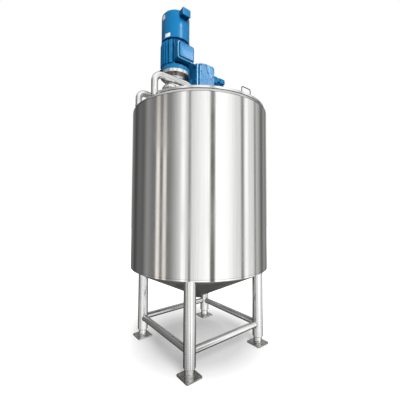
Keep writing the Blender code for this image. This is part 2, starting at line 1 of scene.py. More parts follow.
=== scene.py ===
import json
from math import atan2, cos, pi, radians, sin, sqrt, tan, tau
import bmesh
import bpy
from mathutils import Matrix, Quaternion, Vector


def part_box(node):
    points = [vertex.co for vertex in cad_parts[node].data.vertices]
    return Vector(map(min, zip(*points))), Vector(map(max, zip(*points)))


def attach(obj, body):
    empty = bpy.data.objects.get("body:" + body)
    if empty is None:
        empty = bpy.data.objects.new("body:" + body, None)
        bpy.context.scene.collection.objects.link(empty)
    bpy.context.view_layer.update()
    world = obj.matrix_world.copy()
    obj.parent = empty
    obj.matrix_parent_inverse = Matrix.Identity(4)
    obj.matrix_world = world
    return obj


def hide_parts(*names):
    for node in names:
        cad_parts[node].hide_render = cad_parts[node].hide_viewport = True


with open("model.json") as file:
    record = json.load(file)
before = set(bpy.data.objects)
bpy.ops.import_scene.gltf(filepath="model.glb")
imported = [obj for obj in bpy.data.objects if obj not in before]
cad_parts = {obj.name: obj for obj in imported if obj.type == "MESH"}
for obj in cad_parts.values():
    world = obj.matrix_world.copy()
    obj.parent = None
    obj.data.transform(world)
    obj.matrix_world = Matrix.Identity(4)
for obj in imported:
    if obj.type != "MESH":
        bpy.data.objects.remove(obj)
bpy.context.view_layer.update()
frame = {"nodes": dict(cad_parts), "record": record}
bpy.context.scene.view_settings.view_transform = "Standard"
nodes = frame["nodes"]
print("frame loaded:", len(nodes), "nodes")


# where the main pieces are, read from the frame
def middle(node):
    low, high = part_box(node)
    return (low + high) / 2


shellLow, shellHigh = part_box("jacket_shell")
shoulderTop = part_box("shoulder_ring")[1].z
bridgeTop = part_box("bridge_plate")[1].z
cowlLow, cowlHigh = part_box("mixer_fan_cowl")
cowlRadius = (cowlHigh.x - cowlLow.x) / 2
mixerX = middle("mixer_fan_cowl").x
mixerAxis = (mixerX, 0, 0)
neckRing = 0.026    # height of the flange on the mixer's neck
corners = ("front", "right", "back", "left")
up, back = Vector((0, 0, 1)), Vector((0, 1, 0))
front = -back
clear = 0.0002      # air between a trim piece and what it sits on


def addObject(name, data):
    made = bpy.data.objects.new(name, data)
    bpy.context.scene.collection.objects.link(made)
    return made


# camera, where the photograph was taken
photoCamera = dict(eye=(-1.543, -1.969, 1.253), looking=(0.619, 0.785, 0.041), roll=0.0048, lens=22.6, sensor=36.0)


def setCamera(c):
    data = bpy.data.cameras.new("photoCamera")
    data.lens, data.sensor_width = c["lens"], c["sensor"]
    camera = addObject("photoCamera", data)
    camera.location = c["eye"]
    camera.rotation_mode = "QUATERNION"
    aim = Vector(c["looking"]).to_track_quat("-Z", "Y")
    camera.rotation_quaternion = aim @ Quaternion(up, c["roll"])
    bpy.context.scene.camera = camera


setCamera(photoCamera)


# short cuts for node trees
def feed(tree, socket, value):
    # links a socket or sets a value; one number on a colour is a grey
    if isinstance(value, bpy.types.NodeSocket):
        tree.links.new(value, socket)
    elif socket.type == "RGBA":
        socket.default_value = (*value, 1.0)[:4] if isinstance(value, tuple) else (value, value, value, 1.0)
    else:
        socket.default_value = value


def addNode(tree, kind, settings=None, **inputs):
    node = tree.nodes.new(kind if "Node" in kind else "ShaderNode" + kind)
    for key, value in (settings or {}).items():
        setattr(node, key, value)
    for key, value in inputs.items():
        feed(tree, node.inputs[key.replace("_", " ")], value)
    return node


def startGroup(name, inputs, outputs, kind="Float"):
    # each input with its first value: a number, a vector of 3 or a colour of 4
    group = bpy.data.node_groups.new(name, "ShaderNodeTree")
    for label, value in inputs.items():
        sort = "Float" if isinstance(value, float) else "Vector" if len(value) == 3 else "Color"
        group.interface.new_socket(label, in_out="INPUT", socket_type="NodeSocket" + sort).default_value = value
    for label in outputs:
        group.interface.new_socket(label, in_out="OUTPUT", socket_type="NodeSocket" + kind)
    return group, group.nodes.new("NodeGroupInput").outputs, group.nodes.new("NodeGroupOutput").inputs


def useGroup(tree, group, **inputs):
    return addNode(tree, "Group", {"node_tree": group}, **inputs).outputs


def calc(tree, operation, first, second=0.0, clamp=False):
    node = addNode(tree, "Math", {"operation": operation, "use_clamp": clamp})
    feed(tree, node.inputs[0], first)
    feed(tree, node.inputs[1], second)
    return node.outputs[0]


def mixColour(tree, share, first, second):
    mix = addNode(tree, "Mix", {"data_type": "RGBA"})
    for place, value in ((0, share), (6, first), (7, second)):
        feed(tree, mix.inputs[place], value)
    return mix.outputs[2]


def mapRange(tree, value, fromLow, fromHigh, low=0.0, high=1.0):
    return addNode(tree, "MapRange", Value=value, From_Min=fromLow, From_Max=fromHigh, To_Min=low,
                   To_Max=high).outputs["Result"]


def bump(tree, height, strength, distance, under=None):
    node = addNode(tree, "Bump", Height=height, Strength=strength, Distance=distance)
    if under is not None:
        feed(tree, node.inputs["Normal"], under)
    return node.outputs["Normal"]


def objectPlace(tree):
    return addNode(tree, "TexCoord").outputs["Object"]


# shared surface effects
def makeGrain():
    group, start, end = startGroup("polishingGrain", dict(Stretch=(1.0, 1.0, 0.03), Scale=120.0), ("Lines", "Bands"))
    stretched = addNode(group, "VectorMath", {"operation": "MULTIPLY"})
    feed(group, stretched.inputs[0], objectPlace(group))
    feed(group, stretched.inputs[1], start["Stretch"])
    place = stretched.outputs[0]
    lines = addNode(group, "TexNoise", Vector=place, Scale=start["Scale"], Detail=4.0, Roughness=0.7)
    wider = calc(group, "MULTIPLY", start["Scale"], 0.12)
    bands = addNode(group, "TexNoise", Vector=place, Scale=wider, Detail=1.0, Roughness=0.4)
    feed(group, end["Lines"], lines.outputs["Fac"])
    feed(group, end["Bands"], bands.outputs["Fac"])
    return group


def makeSmudge():
    group, start, end = startGroup("handledSmudges", dict(Scale=3.0, Dust=0.0), ("Smudge", "Dust"))
    cloud = addNode(group, "TexNoise", Vector=objectPlace(group), Scale=start["Scale"], Detail=6.0,
                    Roughness=0.55, Distortion=0.6).outputs["Fac"]
    facing = addNode(group, "SeparateXYZ", Vector=addNode(group, "NewGeometry").outputs["Normal"])
    upward = mapRange(group, facing.outputs["Z"], 0.5, 1.0)
    patchy = calc(group, "MULTIPLY", upward, mapRange(group, cloud, 0.3, 0.6, 0.3, 1.0))
    feed(group, end["Smudge"], mapRange(group, cloud, 0.35, 0.7))
    feed(group, end["Dust"], calc(group, "MULTIPLY", patchy, start["Dust"]))
    return group


def makeCastSkin():
    group, start, end = startGroup("castSkin", dict(Scale=200.0, Lumps=0.5), ("Height", "Tone"))
    place = objectPlace(group)
    pits = addNode(group, "TexVoronoi", {"feature": "SMOOTH_F1"}, Vector=place, Scale=start["Scale"], Smoothness=0.6)
    lumps = addNode(group, "TexNoise", Vector=place, Scale=28.0, Detail=3.0).outputs["Fac"]
    both = addNode(group, "Mix", {"data_type": "FLOAT"})
    for k, value in ((0, start["Lumps"]), (2, pits.outputs["Distance"]), (3, lumps)):
        feed(group, both.inputs[k], value)
    feed(group, end["Height"], both.outputs[0])
    feed(group, end["Tone"], lumps)
    return group


def makeEdgeLine():
    group, start, end = startGroup("edgeLine", dict(Low=0.0, High=0.01, Soft=0.0006), ("Share",))
    z = addNode(group, "SeparateXYZ", Vector=objectPlace(group)).outputs["Z"]
    above = calc(group, "DIVIDE", calc(group, "SUBTRACT", z, start["Low"]), start["Soft"], True)
    below = calc(group, "DIVIDE", calc(group, "SUBTRACT", start["High"], z), start["Soft"], True)
    feed(group, end["Share"], calc(group, "MULTIPLY", above, below))
    return group


grainGroup = makeGrain()
smudgeGroup = makeSmudge()
skinGroup = makeCastSkin()
lineGroup = makeEdgeLine()

# metals: the two tones (one number is a warm grey), the roughness from clean to smudged, the grain's size and
# depth; lines are narrow rings of another tone, from one height to another
lowEdge, topEdge = shellLow.z, shellHigh.z
acrossLid = (0.05, 1, 1)
metals = dict(
    shellSteel=dict(tones=((0.79, 0.79, 0.775), (0.89, 0.89, 0.88)), rough=(0.07, 0.16), stretch=(1, 1, 0.012),
                    scale=150, grain=0.05, waves=0.05, smudge=1.6,
                    # the bright ring at the foot is a painted highlight on the hem, and the dark ring just above it is
                    # painted shade
                    lines=((lowEdge - 0.001, lowEdge + 0.010, 0.97),
                           (lowEdge + 0.011, lowEdge + 0.015, (0.52, 0.52, 0.51)),
                           (topEdge - 0.003, topEdge + 0.001, (0.45, 0.45, 0.44)))),
    shoulderSteel=dict(tones=(0.62, 0.70), rough=(0.10, 0.20), scale=150, grain=0.03, dust=0.05,
                       lines=((topEdge - 0.001, topEdge + 0.003, (0.42, 0.42, 0.41)),)),
    pipeSteel=dict(tones=(0.86, 0.91), rough=(0.06, 0.14), scale=60, grain=0.0, smudge=6, metallic=0.95, edge=0.0),
    braceSteel=dict(tones=(0.84, 0.92), rough=(0.08, 0.20), scale=300, grain=0.02, smudge=6, metallic=0.9, edge=0.1),
    skirtSteel=dict(tones=(0.86, 0.95), rough=(0.16, 0.28), stretch=acrossLid, scale=170, grain=0.05, waves=0.02,
                    smudge=2.5, dust=0.15),
    # darker than the lids, so the pipes above it reflect a dark underside: painted shade
    shadedBridgeSteel=dict(tones=(0.44, 0.54), rough=(0.26, 0.40), stretch=acrossLid, scale=170, grain=0.10, waves=0.02,
                     smudge=2.5, dust=0.2),
    lidSteel=dict(tones=((0.70, 0.70, 0.69), (0.82, 0.82, 0.81)), rough=(0.22, 0.38), stretch=acrossLid, scale=170,
                  grain=0.10, waves=0.02, smudge=2.5, dust=0.3),
    tubeSteel=dict(tones=(0.86, 0.94), rough=(0.08, 0.15), stretch=(0.4, 0.4, 1), scale=300, grain=0.03,
                   smudge=2.5, edge=0.1),
    plateSteel=dict(tones=((0.40, 0.39, 0.38), (0.74, 0.73, 0.71)), rough=(0.22, 0.42), scale=60, smudge=9, dust=0.2),
    coneSteel=dict(tones=((0.62, 0.62, 0.61), (0.72, 0.72, 0.71)), rough=(0.36, 0.52), metallic=0.85),
    darkSteel=dict(tones=((0.13, 0.13, 0.128), (0.19, 0.19, 0.186)), rough=(0.42, 0.6)),
    boltSteel=dict(tones=((0.55, 0.55, 0.54), (0.72, 0.72, 0.70)), rough=(0.22, 0.42), scale=400, grain=0.05,
                   smudge=20, dust=0.1),
    weldSteel=dict(tones=((0.50, 0.49, 0.47), (0.74, 0.73, 0.71)), rough=(0.18, 0.38), scale=260, grain=0.12,
                   smudge=14),
    # dark brownish tones that stand in for the shade under the drive flange: painted shade
    flangeShadeSteel=dict(tones=((0.10, 0.085, 0.07), (0.46, 0.43, 0.39)), rough=(0.25, 0.45), scale=45, grain=0.1, smudge=14),
    blackOxide=dict(tones=((0.02, 0.02, 0.022), (0.05, 0.05, 0.052)), rough=(0.35, 0.5), scale=400, grain=0.1,
                    smudge=20),
)

# painted pieces: the two blues, and how lumpy the casting under the paint is
paints = dict(
    sheetEnamel=dict(tones=((0.003, 0.135, 0.325), (0.007, 0.165, 0.370)), rough=(0.26, 0.40), skin=420, lumps=0.2,
                     height=0.05, smudge=7, dust=0.06),
    castEnamel=dict(tones=((0.004, 0.120, 0.290), (0.016, 0.175, 0.370)), dust=0.08),
    # light blue that stands in for light caught on flanges, ribs and edges: painted highlight
    highlightEnamel=dict(tones=((0.10, 0.36, 0.62), (0.17, 0.45, 0.70)), lumps=0.4, height=0.10),
    # very dark blue; on the fin core, the gaps, the flute and the recess it is painted shade
    darkAndShadeEnamel=dict(tones=((0.002, 0.045, 0.120), (0.006, 0.070, 0.170)), rough=(0.35, 0.5), coat=0.1, dust=0.03),
)

# labels, rubber and plugs: the two tones, the roughness and the size of the marks
plains = dict(
    whiteLabel=(((0.80, 0.79, 0.78), (0.90, 0.90, 0.89)), (0.35, 0.5), 30.0),
    blackRubber=(((0.015, 0.015, 0.016), 0.03), (0.5, 0.7), 25.0),
    palePlug=(((0.30, 0.18, 0.34), (0.42, 0.26, 0.44)), (0.3, 0.45), 40.0),
)
dustTone = (0.62, 0.60, 0.57)


def startMaterial(name, **inputs):
    material = bpy.data.materials.new(name)
    material.use_nodes = True
    shader = material.node_tree.nodes["Principled BSDF"]
    for key, value in inputs.items():
        feed(material.node_tree, shader.inputs[key.replace("_", " ")], value)
    return material, material.node_tree, shader.inputs


def makeMetal(name, tones, rough, scale=160, grain=0.08, smudge=3, dust=0.0, stretch=(1, 1, 1), waves=0.0,
              metallic=1.0, edge=1.0, lines=()):
    material, tree, shader = startMaterial(name, Metallic=metallic, Specular_Tint=edge)
    polish = useGroup(tree, grainGroup, Stretch=stretch, Scale=scale)
    marks = useGroup(tree, smudgeGroup, Scale=smudge, Dust=dust)
    tones = [tone if isinstance(tone, tuple) else (tone, tone, tone - 0.005) for tone in tones]
    seen = mixColour(tree, mapRange(tree, polish["Lines"], 0.3, 0.7), *tones)
    if dust > 0:
        seen = mixColour(tree, marks["Dust"], seen, dustTone)
    for low, high, tone in lines:
        seen = mixColour(tree, useGroup(tree, lineGroup, Low=low, High=high)["Share"], seen, tone)
    feed(tree, shader["Base Color"], seen)
    feed(tree, shader["Roughness"], mapRange(tree, marks["Smudge"], 0.0, 1.0, *rough))
    normal = bump(tree, polish["Bands"], waves, 0.004) if waves > 0 else None
    if grain > 0:
        feed(tree, shader["Normal"], bump(tree, polish["Lines"], grain, 0.0006, normal))
    return material


def makePaint(name, tones, rough=(0.30, 0.48), coat=0.08, skin=260, lumps=0.6, height=0.25, smudge=9, dust=0.0):
    material, tree, shader = startMaterial(name, Coat_Weight=coat, Coat_Roughness=0.3, Specular_IOR_Level=0.1)
    cast = useGroup(tree, skinGroup, Scale=skin, Lumps=lumps)
    marks = useGroup(tree, smudgeGroup, Scale=smudge, Dust=dust)
    feed(tree, shader["Base Color"], mixColour(tree, marks["Dust"], mixColour(tree, cast["Tone"], *tones), dustTone))
    feed(tree, shader["Roughness"], mapRange(tree, marks["Smudge"], 0.0, 1.0, *rough))
    feed(tree, shader["Normal"], bump(tree, cast["Height"], height, 0.0012))
    return material


def makePlain(name, tones, rough, scale):
    material, tree, shader = startMaterial(name)
    marks = useGroup(tree, smudgeGroup, Scale=scale, Dust=0.0)
    cast = useGroup(tree, skinGroup, Scale=scale * 12, Lumps=0.3)
    feed(tree, shader["Base Color"], mixColour(tree, marks["Smudge"], *tones))
    feed(tree, shader["Roughness"], mapRange(tree, cast["Tone"], 0.3, 0.7, *rough))
    feed(tree, shader["Normal"], bump(tree, cast["Height"], 0.1, 0.0004))
    return material


finishes = {name: makeMetal(name, **look) for name, look in metals.items()}
finishes.update({name: makePaint(name, **look) for name, look in paints.items()})
finishes.update({name: makePlain(name, *look) for name, look in plains.items()})
print("materials:", len(finishes))


# carried-over nodes: welded and shaded smooth by a modifier, then given their finish
def makeShadeTree(limit):
    tree = bpy.data.node_groups.new("weldAndShade", "GeometryNodeTree")
    for way in ("INPUT", "OUTPUT"):
        tree.interface.new_socket("Geometry", in_out=way, socket_type="NodeSocketGeometry")
    start, end = tree.nodes.new("NodeGroupInput"), tree.nodes.new("NodeGroupOutput")
    plain = addNode(tree, "GeometryNodeRemoveAttribute", Geometry=start.outputs[0], Name="custom_normal")
    weld = addNode(tree, "GeometryNodeMergeByDistance", Geometry=plain.outputs[0], Distance=0.00002)
    angle = addNode(tree, "GeometryNodeInputMeshEdgeAngle").outputs["Unsigned Angle"]
    soft = addNode(tree, "FunctionNodeCompare", {"operation": "LESS_EQUAL"}, A=angle, B=radians(limit))
    faces = addNode(tree, "GeometryNodeSetShadeSmooth", Geometry=weld.outputs[0])
    edges = addNode(tree, "GeometryNodeSetShadeSmooth", {"domain": "EDGE"}, Geometry=faces.outputs[0],
                    Shade_Smooth=soft.outputs[0])
    tree.links.new(edges.outputs[0], end.inputs[0])
    return tree


shadeTree = makeShadeTree(38)
nodeFinishes = dict(
    shellSteel=["jacket_shell"],
    shoulderSteel=["shoulder_ring"],
    lidSteel=["bottom_ring", "vessel_wall", "rim_ring"],
    skirtSteel=["rear_lid", "front_flap", "mixer_neck"],
    shadedBridgeSteel=["bridge_plate"],
    tubeSteel=["leg_" + side for side in corners] + ["nozzle_neck", "nozzle_cap"],
    pipeSteel=["tall_gooseneck", "low_gooseneck"],
    braceSteel=["brace_front_right", "brace_right_back", "brace_back_left", "brace_left_front"],
    plateSteel=["foot_" + side for side in corners] + ["hinge_leaf_left", "hinge_leaf_right"],
    coneSteel=["bottom_cone"],
    darkSteel=["outlet_stub", "hinge_bracket_left", "hinge_bracket_right", "flap_handle"],
    sheetEnamel=["mixer_fan_cowl", "mixer_box_cover", "mixer_top_box", "gear_motor_cowl"],
    castEnamel=["mixer_end_shield", "mixer_motor_body", "mixer_terminal_box", "gearbox_foot",
                "gearbox_housing", "gearbox_cover", "gearbox_block", "gear_motor_body"],
)
for finish, names in nodeFinishes.items():
    for name in names:
        nodes[name].data.materials.clear()
        nodes[name].data.materials.append(finishes[finish])
        nodes[name].modifiers.new("weldAndShade", "NODES").node_group = shadeTree
print("carried-over nodes dressed:", sum(len(names) for names in nodeFinishes.values()))


# studio: pale floor with a painted shadow under the tank, soft light, and the cards that the polished steel reflects
studio = dict(
    cameraTurn=atan2(photoCamera["eye"][1], photoCamera["eye"][0]),
    backdrop=1.0,
    floor=(0.80, 0.795, 0.79),
    # the floor is darker under the tank: a painted shadow, in its tone and in its glow
    underTank=0.50,
    floorShadowFade=(0.40, 1.20),     # metres from the tank's middle, where the shade ends
    floorGlowAndShadow=(0.24, 1.0),      # under the tank, and away from it
    floorSize=30.0,
    fill=(0.11, 0.56),          # light from below and from above, and between which heights
    fillHeights=(-0.3, 0.4),
    ceiling=0.95,
    ceilingHeights=(0.55, 0.85),
    below=0.05,
    belowHeights=(-0.75, -0.42),
    # the room's walls round the tank: degrees to the right of the camera, brightness
    walls=((-180, 0.85), (-155, 0.28), (-128, 0.06), (-114, 0.15), (-101, 0.11), (-91, 0.32), (-79, 0.19),
           (-53, 0.19), (-46, 0.24), (-38, 0.46), (-30, 0.76), (-16, 0.72), (4, 1.06), (28, 1.36), (46, 1.16),
           (62, 0.82), (92, 0.84), (109, 0.50), (121, 0.11), (133, 0.34), (142, 0.18), (162, 0.85), (180, 0.85)),
    # narrow cards: degrees, width, brightness, warmth
    cards=((-68.5, 6.5, 1.0, 0.5), (-56, 6, 0.92, 0.5), (-25, 7, 1.15, 0.0), (-15, 3.6, 0.22, 0.0),
           (20.5, 8, 0.17, 0.0), (72, 6, 0.26, 0.0), (80.5, 7, 1.15, 0.0), (101, 5, 0.27, 0.0)),
    cardEdge=2.2,
    cardFade=(0.42, 0.20, 0.62),    # warm cards: dimmed at this height, full at this one, how dim
    behind=(140, 165, 0.06),        # the room's far side, dark above and below the shell
    shellBand=(0.1, 0.22, 0.34),
)


def makeCardGroup(edge):
    white = (1, 1, 1, 1)
    group, start, end = startGroup("studioCard", dict(Under=white, Angle=0.0, Turn=0.0, Width=5.0, Card=white),
                                   ("Colour",), "Color")
    away = calc(group, "ABSOLUTE", calc(group, "SUBTRACT", start["Angle"], start["Turn"]))
    past = calc(group, "SUBTRACT", away, calc(group, "MULTIPLY", start["Width"], 0.5))
    inside = mapRange(group, past, -edge / 2, edge / 2, 1.0, 0.0)
    feed(group, end["Colour"], mixColour(group, inside, start["Under"], start["Card"]))
    return group


def makeWorld(s):
    world = bpy.data.worlds.new("studio")
    world.use_nodes = True
    bpy.context.scene.world = world
    tree = world.node_tree
    tree.nodes.clear()
    # degrees round the tank from the camera's side, positive to its right
    across = addNode(tree, "VectorRotate", {"rotation_type": "Z_AXIS"}, Angle=-s["cameraTurn"],
                     Vector=addNode(tree, "TexCoord").outputs["Generated"])
    x, y, height = addNode(tree, "SeparateXYZ", Vector=across.outputs[0]).outputs
    degrees = calc(tree, "DEGREES", calc(tree, "ARCTAN2", y, x))
    ramp = addNode(tree, "ValToRGB", Fac=mapRange(tree, degrees, -180, 180))
    stops = ramp.color_ramp.elements
    for k, (degree, level) in enumerate(s["walls"]):
        share = (degree + 180) / 360
        stop = stops[k] if k < 2 else stops.new(share)
        stop.position = share
        stop.color = (level, level, level, 1)
    seen = ramp.outputs["Color"]
    card = makeCardGroup(s["cardEdge"])
    dimAt, fullAt, dim = s["cardFade"]
    for degree, width, level, warmth in s["cards"]:
        tint = (level, level * (1 - 0.10 * warmth), level * (1 - 0.22 * warmth))
        if warmth > 0:
            tint = mixColour(tree, mapRange(tree, height, dimAt, fullAt), tuple(v * dim for v in tint), tint)
        seen = useGroup(tree, card, Under=seen, Angle=degrees, Turn=degree, Width=width, Card=tint)["Colour"]
    bandMiddle, bandHalf, bandEnd = s["shellBand"]
    offBand = calc(tree, "ABSOLUTE", calc(tree, "SUBTRACT", height, bandMiddle))
    fromDegree, toDegree, dark = s["behind"]
    far = mapRange(tree, calc(tree, "ABSOLUTE", degrees), fromDegree, toDegree)
    seen = mixColour(tree, calc(tree, "MULTIPLY", far, mapRange(tree, offBand, bandHalf, bandEnd)), seen, dark)
    seen = mixColour(tree, mapRange(tree, height, *s["ceilingHeights"]), seen, s["ceiling"])
    seen = mixColour(tree, mapRange(tree, height, *s["belowHeights"], 1.0, 0.0), seen, s["below"])
    path = addNode(tree, "LightPath").outputs
    fill = mixColour(tree, mapRange(tree, height, *s["fillHeights"]), *s["fill"])
    plain = mixColour(tree, path["Is Diffuse Ray"], seen, fill)
    plain = mixColour(tree, path["Is Camera Ray"], plain, s["backdrop"])
    addNode(tree, "OutputWorld", Surface=addNode(tree, "Background", Color=plain).outputs[0])


def makeFloor(s):
    half = s["floorSize"] / 2
    mesh = bpy.data.meshes.new("studioFloor")
    mesh.from_pydata([(-half, -half, 0), (half, -half, 0), (half, half, 0), (-half, half, 0)], [], [(0, 1, 2, 3)])
    floor = addObject("studioFloor", mesh)
    material, tree, shader = startMaterial("paleFloor", Roughness=0.7, Emission_Strength=1.0)
    away = addNode(tree, "VectorMath", {"operation": "LENGTH"})
    feed(tree, away.inputs[0], objectPlace(tree))
    # darker tone and less glow near the tank: painted shadow
    share = mapRange(tree, away.outputs["Value"], *s["floorShadowFade"])
    feed(tree, shader["Base Color"], mixColour(tree, share, s["underTank"], s["floor"]))
    feed(tree, shader["Emission Color"], mixColour(tree, share, *s["floorGlowAndShadow"]))
    mesh.materials.append(material)
    floor.visible_glossy = floor.visible_diffuse = False


# the key and the back light reach the paint; the two shines are only seen in some painted pieces,
# as a pane and a strip
lamps = dict(
    key=dict(turn=22, distance=4.2, height=3.6, size=(2.2, 2.2), watts=240, aim=1.6, shine=False),
    back=dict(turn=178, distance=4.0, height=3.8, size=(2.4, 2.4), watts=190, aim=2.4, shine=False,
              on=("mixerCowl", "mixerMotorFrame", "mixer_end_shield", "gearbox_housing", "gearboxSideBlock",
                  "gearbox_cover", "gearboxCoverWeb", "gearbox_foot", "lyingMotorFrame", "lyingMotorCowl",
                  "lyingMotorBox")),
    paneShine=dict(turn=70, distance=2.39, height=3.83, size=(1.2, 1.2), watts=80, aim=2.45, shine=True,
                   on=("terminalBoxLid", "terminalBoxFlange", "gearbox_housing", "gearboxRibs", "gearboxFluteShade",
                       "gearboxEdgeHighlights")),
    stripShine=dict(turn=43, distance=2.6, height=4.63, size=(0.45, 1.4), watts=72, aim=2.9, shine=True,
                    on=("mixerCowl", "mixerMotorFrame", "mixer_end_shield", "gearboxSideBlock", "cowlBox")),
)


def makeLamp(name, l):
    data = bpy.data.lights.new(name, "AREA")
    data.energy = l["watts"]
    data.shape = "RECTANGLE"
    data.size, data.size_y = l["size"]
    lamp = addObject(name, data)
    turn = studio["cameraTurn"] + radians(l["turn"])
    lamp.location = (l["distance"] * cos(turn), l["distance"] * sin(turn), l["height"])
    aim = Vector((0, 0, l["aim"])) - lamp.location
    lamp.rotation_euler = aim.to_track_quat("-Z", "Y").to_euler()
    lamp.visible_glossy, lamp.visible_diffuse = l["shine"], not l["shine"]
    return lamp


makeWorld(studio)
makeFloor(studio)
lights = {name: makeLamp(name + "Light", lamp) for name, lamp in lamps.items()}
print("studio ready")


# mesh helpers: each gives a list of lofts, and makePiece turns the lists into one object
def outward(degrees):
    return Vector((cos(radians(degrees)), sin(radians(degrees)), 0))


def onMixer(degrees, radius, z):
    return Vector((mixerX, 0, z)) + outward(degrees) * radius


def placed(points, origin, direction=up, spin=0.0):
    turn = Vector(direction).to_track_quat("Z", "Y").to_matrix() @ Matrix.Rotation(spin, 3, "Z")
    return [Vector(origin) + turn @ Vector(p) for p in points]


def ringOf(radius, height, steps):
    return [(radius * cos(tau * k / steps), radius * sin(tau * k / steps), height) for k in range(steps)]


def roundSection(centre, first, second, sides=8):
    return [centre + first * cos(tau * j / sides) + second * sin(tau * j / sides) for j in range(sides)]


def roundedRect(width, height, corner, level=0.0, steps=5):
    points = []
    for across, rise, start in ((1, 1, 0), (-1, 1, 90), (-1, -1, 180), (1, -1, 270)):
        for k in range(steps + 1):
            turn = outward(start + 90 * k / steps) * corner
            points.append((across * (width / 2 - corner) + turn.x, rise * (height / 2 - corner) + turn.y, level))
    return points


def quarterRound(radius, top, edge, steps):
    return [(radius - edge + edge * cos(pi / 2 * k / steps), top - edge + edge * sin(pi / 2 * k / steps))
            for k in range(1, steps + 1)]


def band(inner, outer, low, high):
    return ((inner, low), (outer, low), (outer, high), (inner, high))


def loft(rings, closed=False):
    return [(rings, closed)]


def turned(outline, origin, direction=up, steps=48, closed=False):
    return loft([placed(ringOf(radius, height, steps) if radius > 0 else [(0, 0, height)], origin, direction)
                 for radius, height in outline], closed)


def hoop(radius, wire, origin, direction=up, steps=48):
    section = [(radius + wire * cos(tau * j / 8), wire * sin(tau * j / 8)) for j in range(8)]
    return turned(section, origin, direction, steps, True)


def block(width, height, depth, corner, edge, origin, direction=front, steps=4):
    # rounded corners seen from the front, and a rolled front edge
    rings = [roundedRect(width, height, corner)]
    for inset, level in [(0, depth - edge)] + [(-u, w) for u, w in quarterRound(0, depth, edge, steps)]:
        rings.append(roundedRect(width - 2 * inset, height - 2 * inset, max(corner - inset, 0.0005), level))
    return loft([placed(ring, origin, direction) for ring in rings])


def tube(points, radius, sides=12):
    # a bent rod through a few points, with flat ends
    path = [Vector(p) for p in points]
    rings = []
    side = None
    for k, point in enumerate(path):
        ahead = (path[min(k + 1, len(path) - 1)] - path[max(k - 1, 0)]).normalized()
        side = side or ahead.orthogonal()
        side = (side - ahead * side.dot(ahead)).normalized()
        rings.append(roundSection(point, side * radius, ahead.cross(side) * radius, sides))
    return loft(rings)


def ripple(k, swing=0.14, pace=tau / 3):
    return 1 + swing * cos(k * pace)    # as a hand lays a weld


def bead(radius, origin, width=0.0075, height=0.003, steps=96):
    # a weld run round a level circle
    rings = []
    for k in range(steps):
        out = outward(360 * k / steps)
        rings.append(roundSection(Vector(origin) + out * radius, out * height * ripple(k),
                                  up * width / 2 * ripple(k)))
    return loft(rings, True)


def bolt(origin, direction, across, washer=True, tall=0.65):
    # a hexagon head on its washer
    base = across * 0.10 if washer else 0.0
    top, radius = base + across * tall, across / sqrt(3)
    rings = [ringOf(radius, base, 6), ringOf(radius, top - across * 0.08, 6), ringOf(radius * 0.86, top, 6)]
    head = loft([placed(ring, origin, direction, 0.3) for ring in rings])
    if washer:
        head = turned(band(0, across * 0.98, 0, base), origin, direction, 20) + head
    return head


def boltCircle(origin, radius, count, direction, across, start=None):
    start = 180 / count if start is None else start
    return [part for k in range(count)
            for part in bolt(Vector(origin) + outward(start + 360 * k / count) * radius, direction, across)]


def socketScrew(origin, radius, tall, direction=front):
    return turned(((0, 0), (radius, 0), (radius, tall * 0.85), (radius * 0.9, tall), (radius * 0.5, tall),
                   (radius * 0.5, tall * 0.4), (0, tall * 0.4)), origin, direction, 16)


def cornerScrews(centre, width, height, inset, radius, tall):
    parts = []
    for across, lift in ((-1, -1), (-1, 1), (1, -1), (1, 1)):
        corner = centre + Vector((across * (width / 2 - inset), 0, lift * (height / 2 - inset)))
        parts += socketScrew(corner, radius, tall)
    return parts


def fillLoft(bm, rings, closed):
    # a ring of one point is a tip; full rings at the ends get flat faces
    made = [[bm.verts.new(p) for p in ring] for ring in rings]
    for a, b in zip(made, made[1:] + (made[:1] if closed else [])):
        count = max(len(a), len(b))
        for k in range(count):
            n = (k + 1) % count
            if len(a) == 1:
                bm.faces.new((a[0], b[n], b[k]))
            elif len(b) == 1:
                bm.faces.new((a[k], a[n], b[0]))
            else:
                bm.faces.new((a[k], a[n], b[n], b[k]))
    for ring in () if closed else (made[0][::-1], made[-1]):
        if len(ring) > 2:
            bm.faces.new(ring)


sharpAngle = radians(32)


def makePiece(name, finish, parts, body="tank", replaced=None):
    bm = bmesh.new()
    for rings, closed in parts:
        fillLoft(bm, rings, closed)
    bmesh.ops.recalc_face_normals(bm, faces=bm.faces)
    mesh = bpy.data.meshes.new(name)
    bm.to_mesh(mesh)
    bm.free()
    mesh.shade_smooth()
    mesh.set_sharp_from_angle(angle=sharpAngle)
    mesh.materials.append(finishes[finish])
    piece = addObject(name, mesh)
    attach(piece, body)
    if replaced:
        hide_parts(replaced)


# mixer motor: finned frame with its pad, chamfered at the top under the cowl
motorFrame = dict(
    fins=34, core=0.112, tip=0.1395, root=0.0035, thin=0.00175, slope=0.016,
    pad=(-149, -135), padReach=0.1375,      # the smooth strip beside the box, in degrees round the axis
    boxHalf=36,                             # degrees each side of the terminal box without fins
)


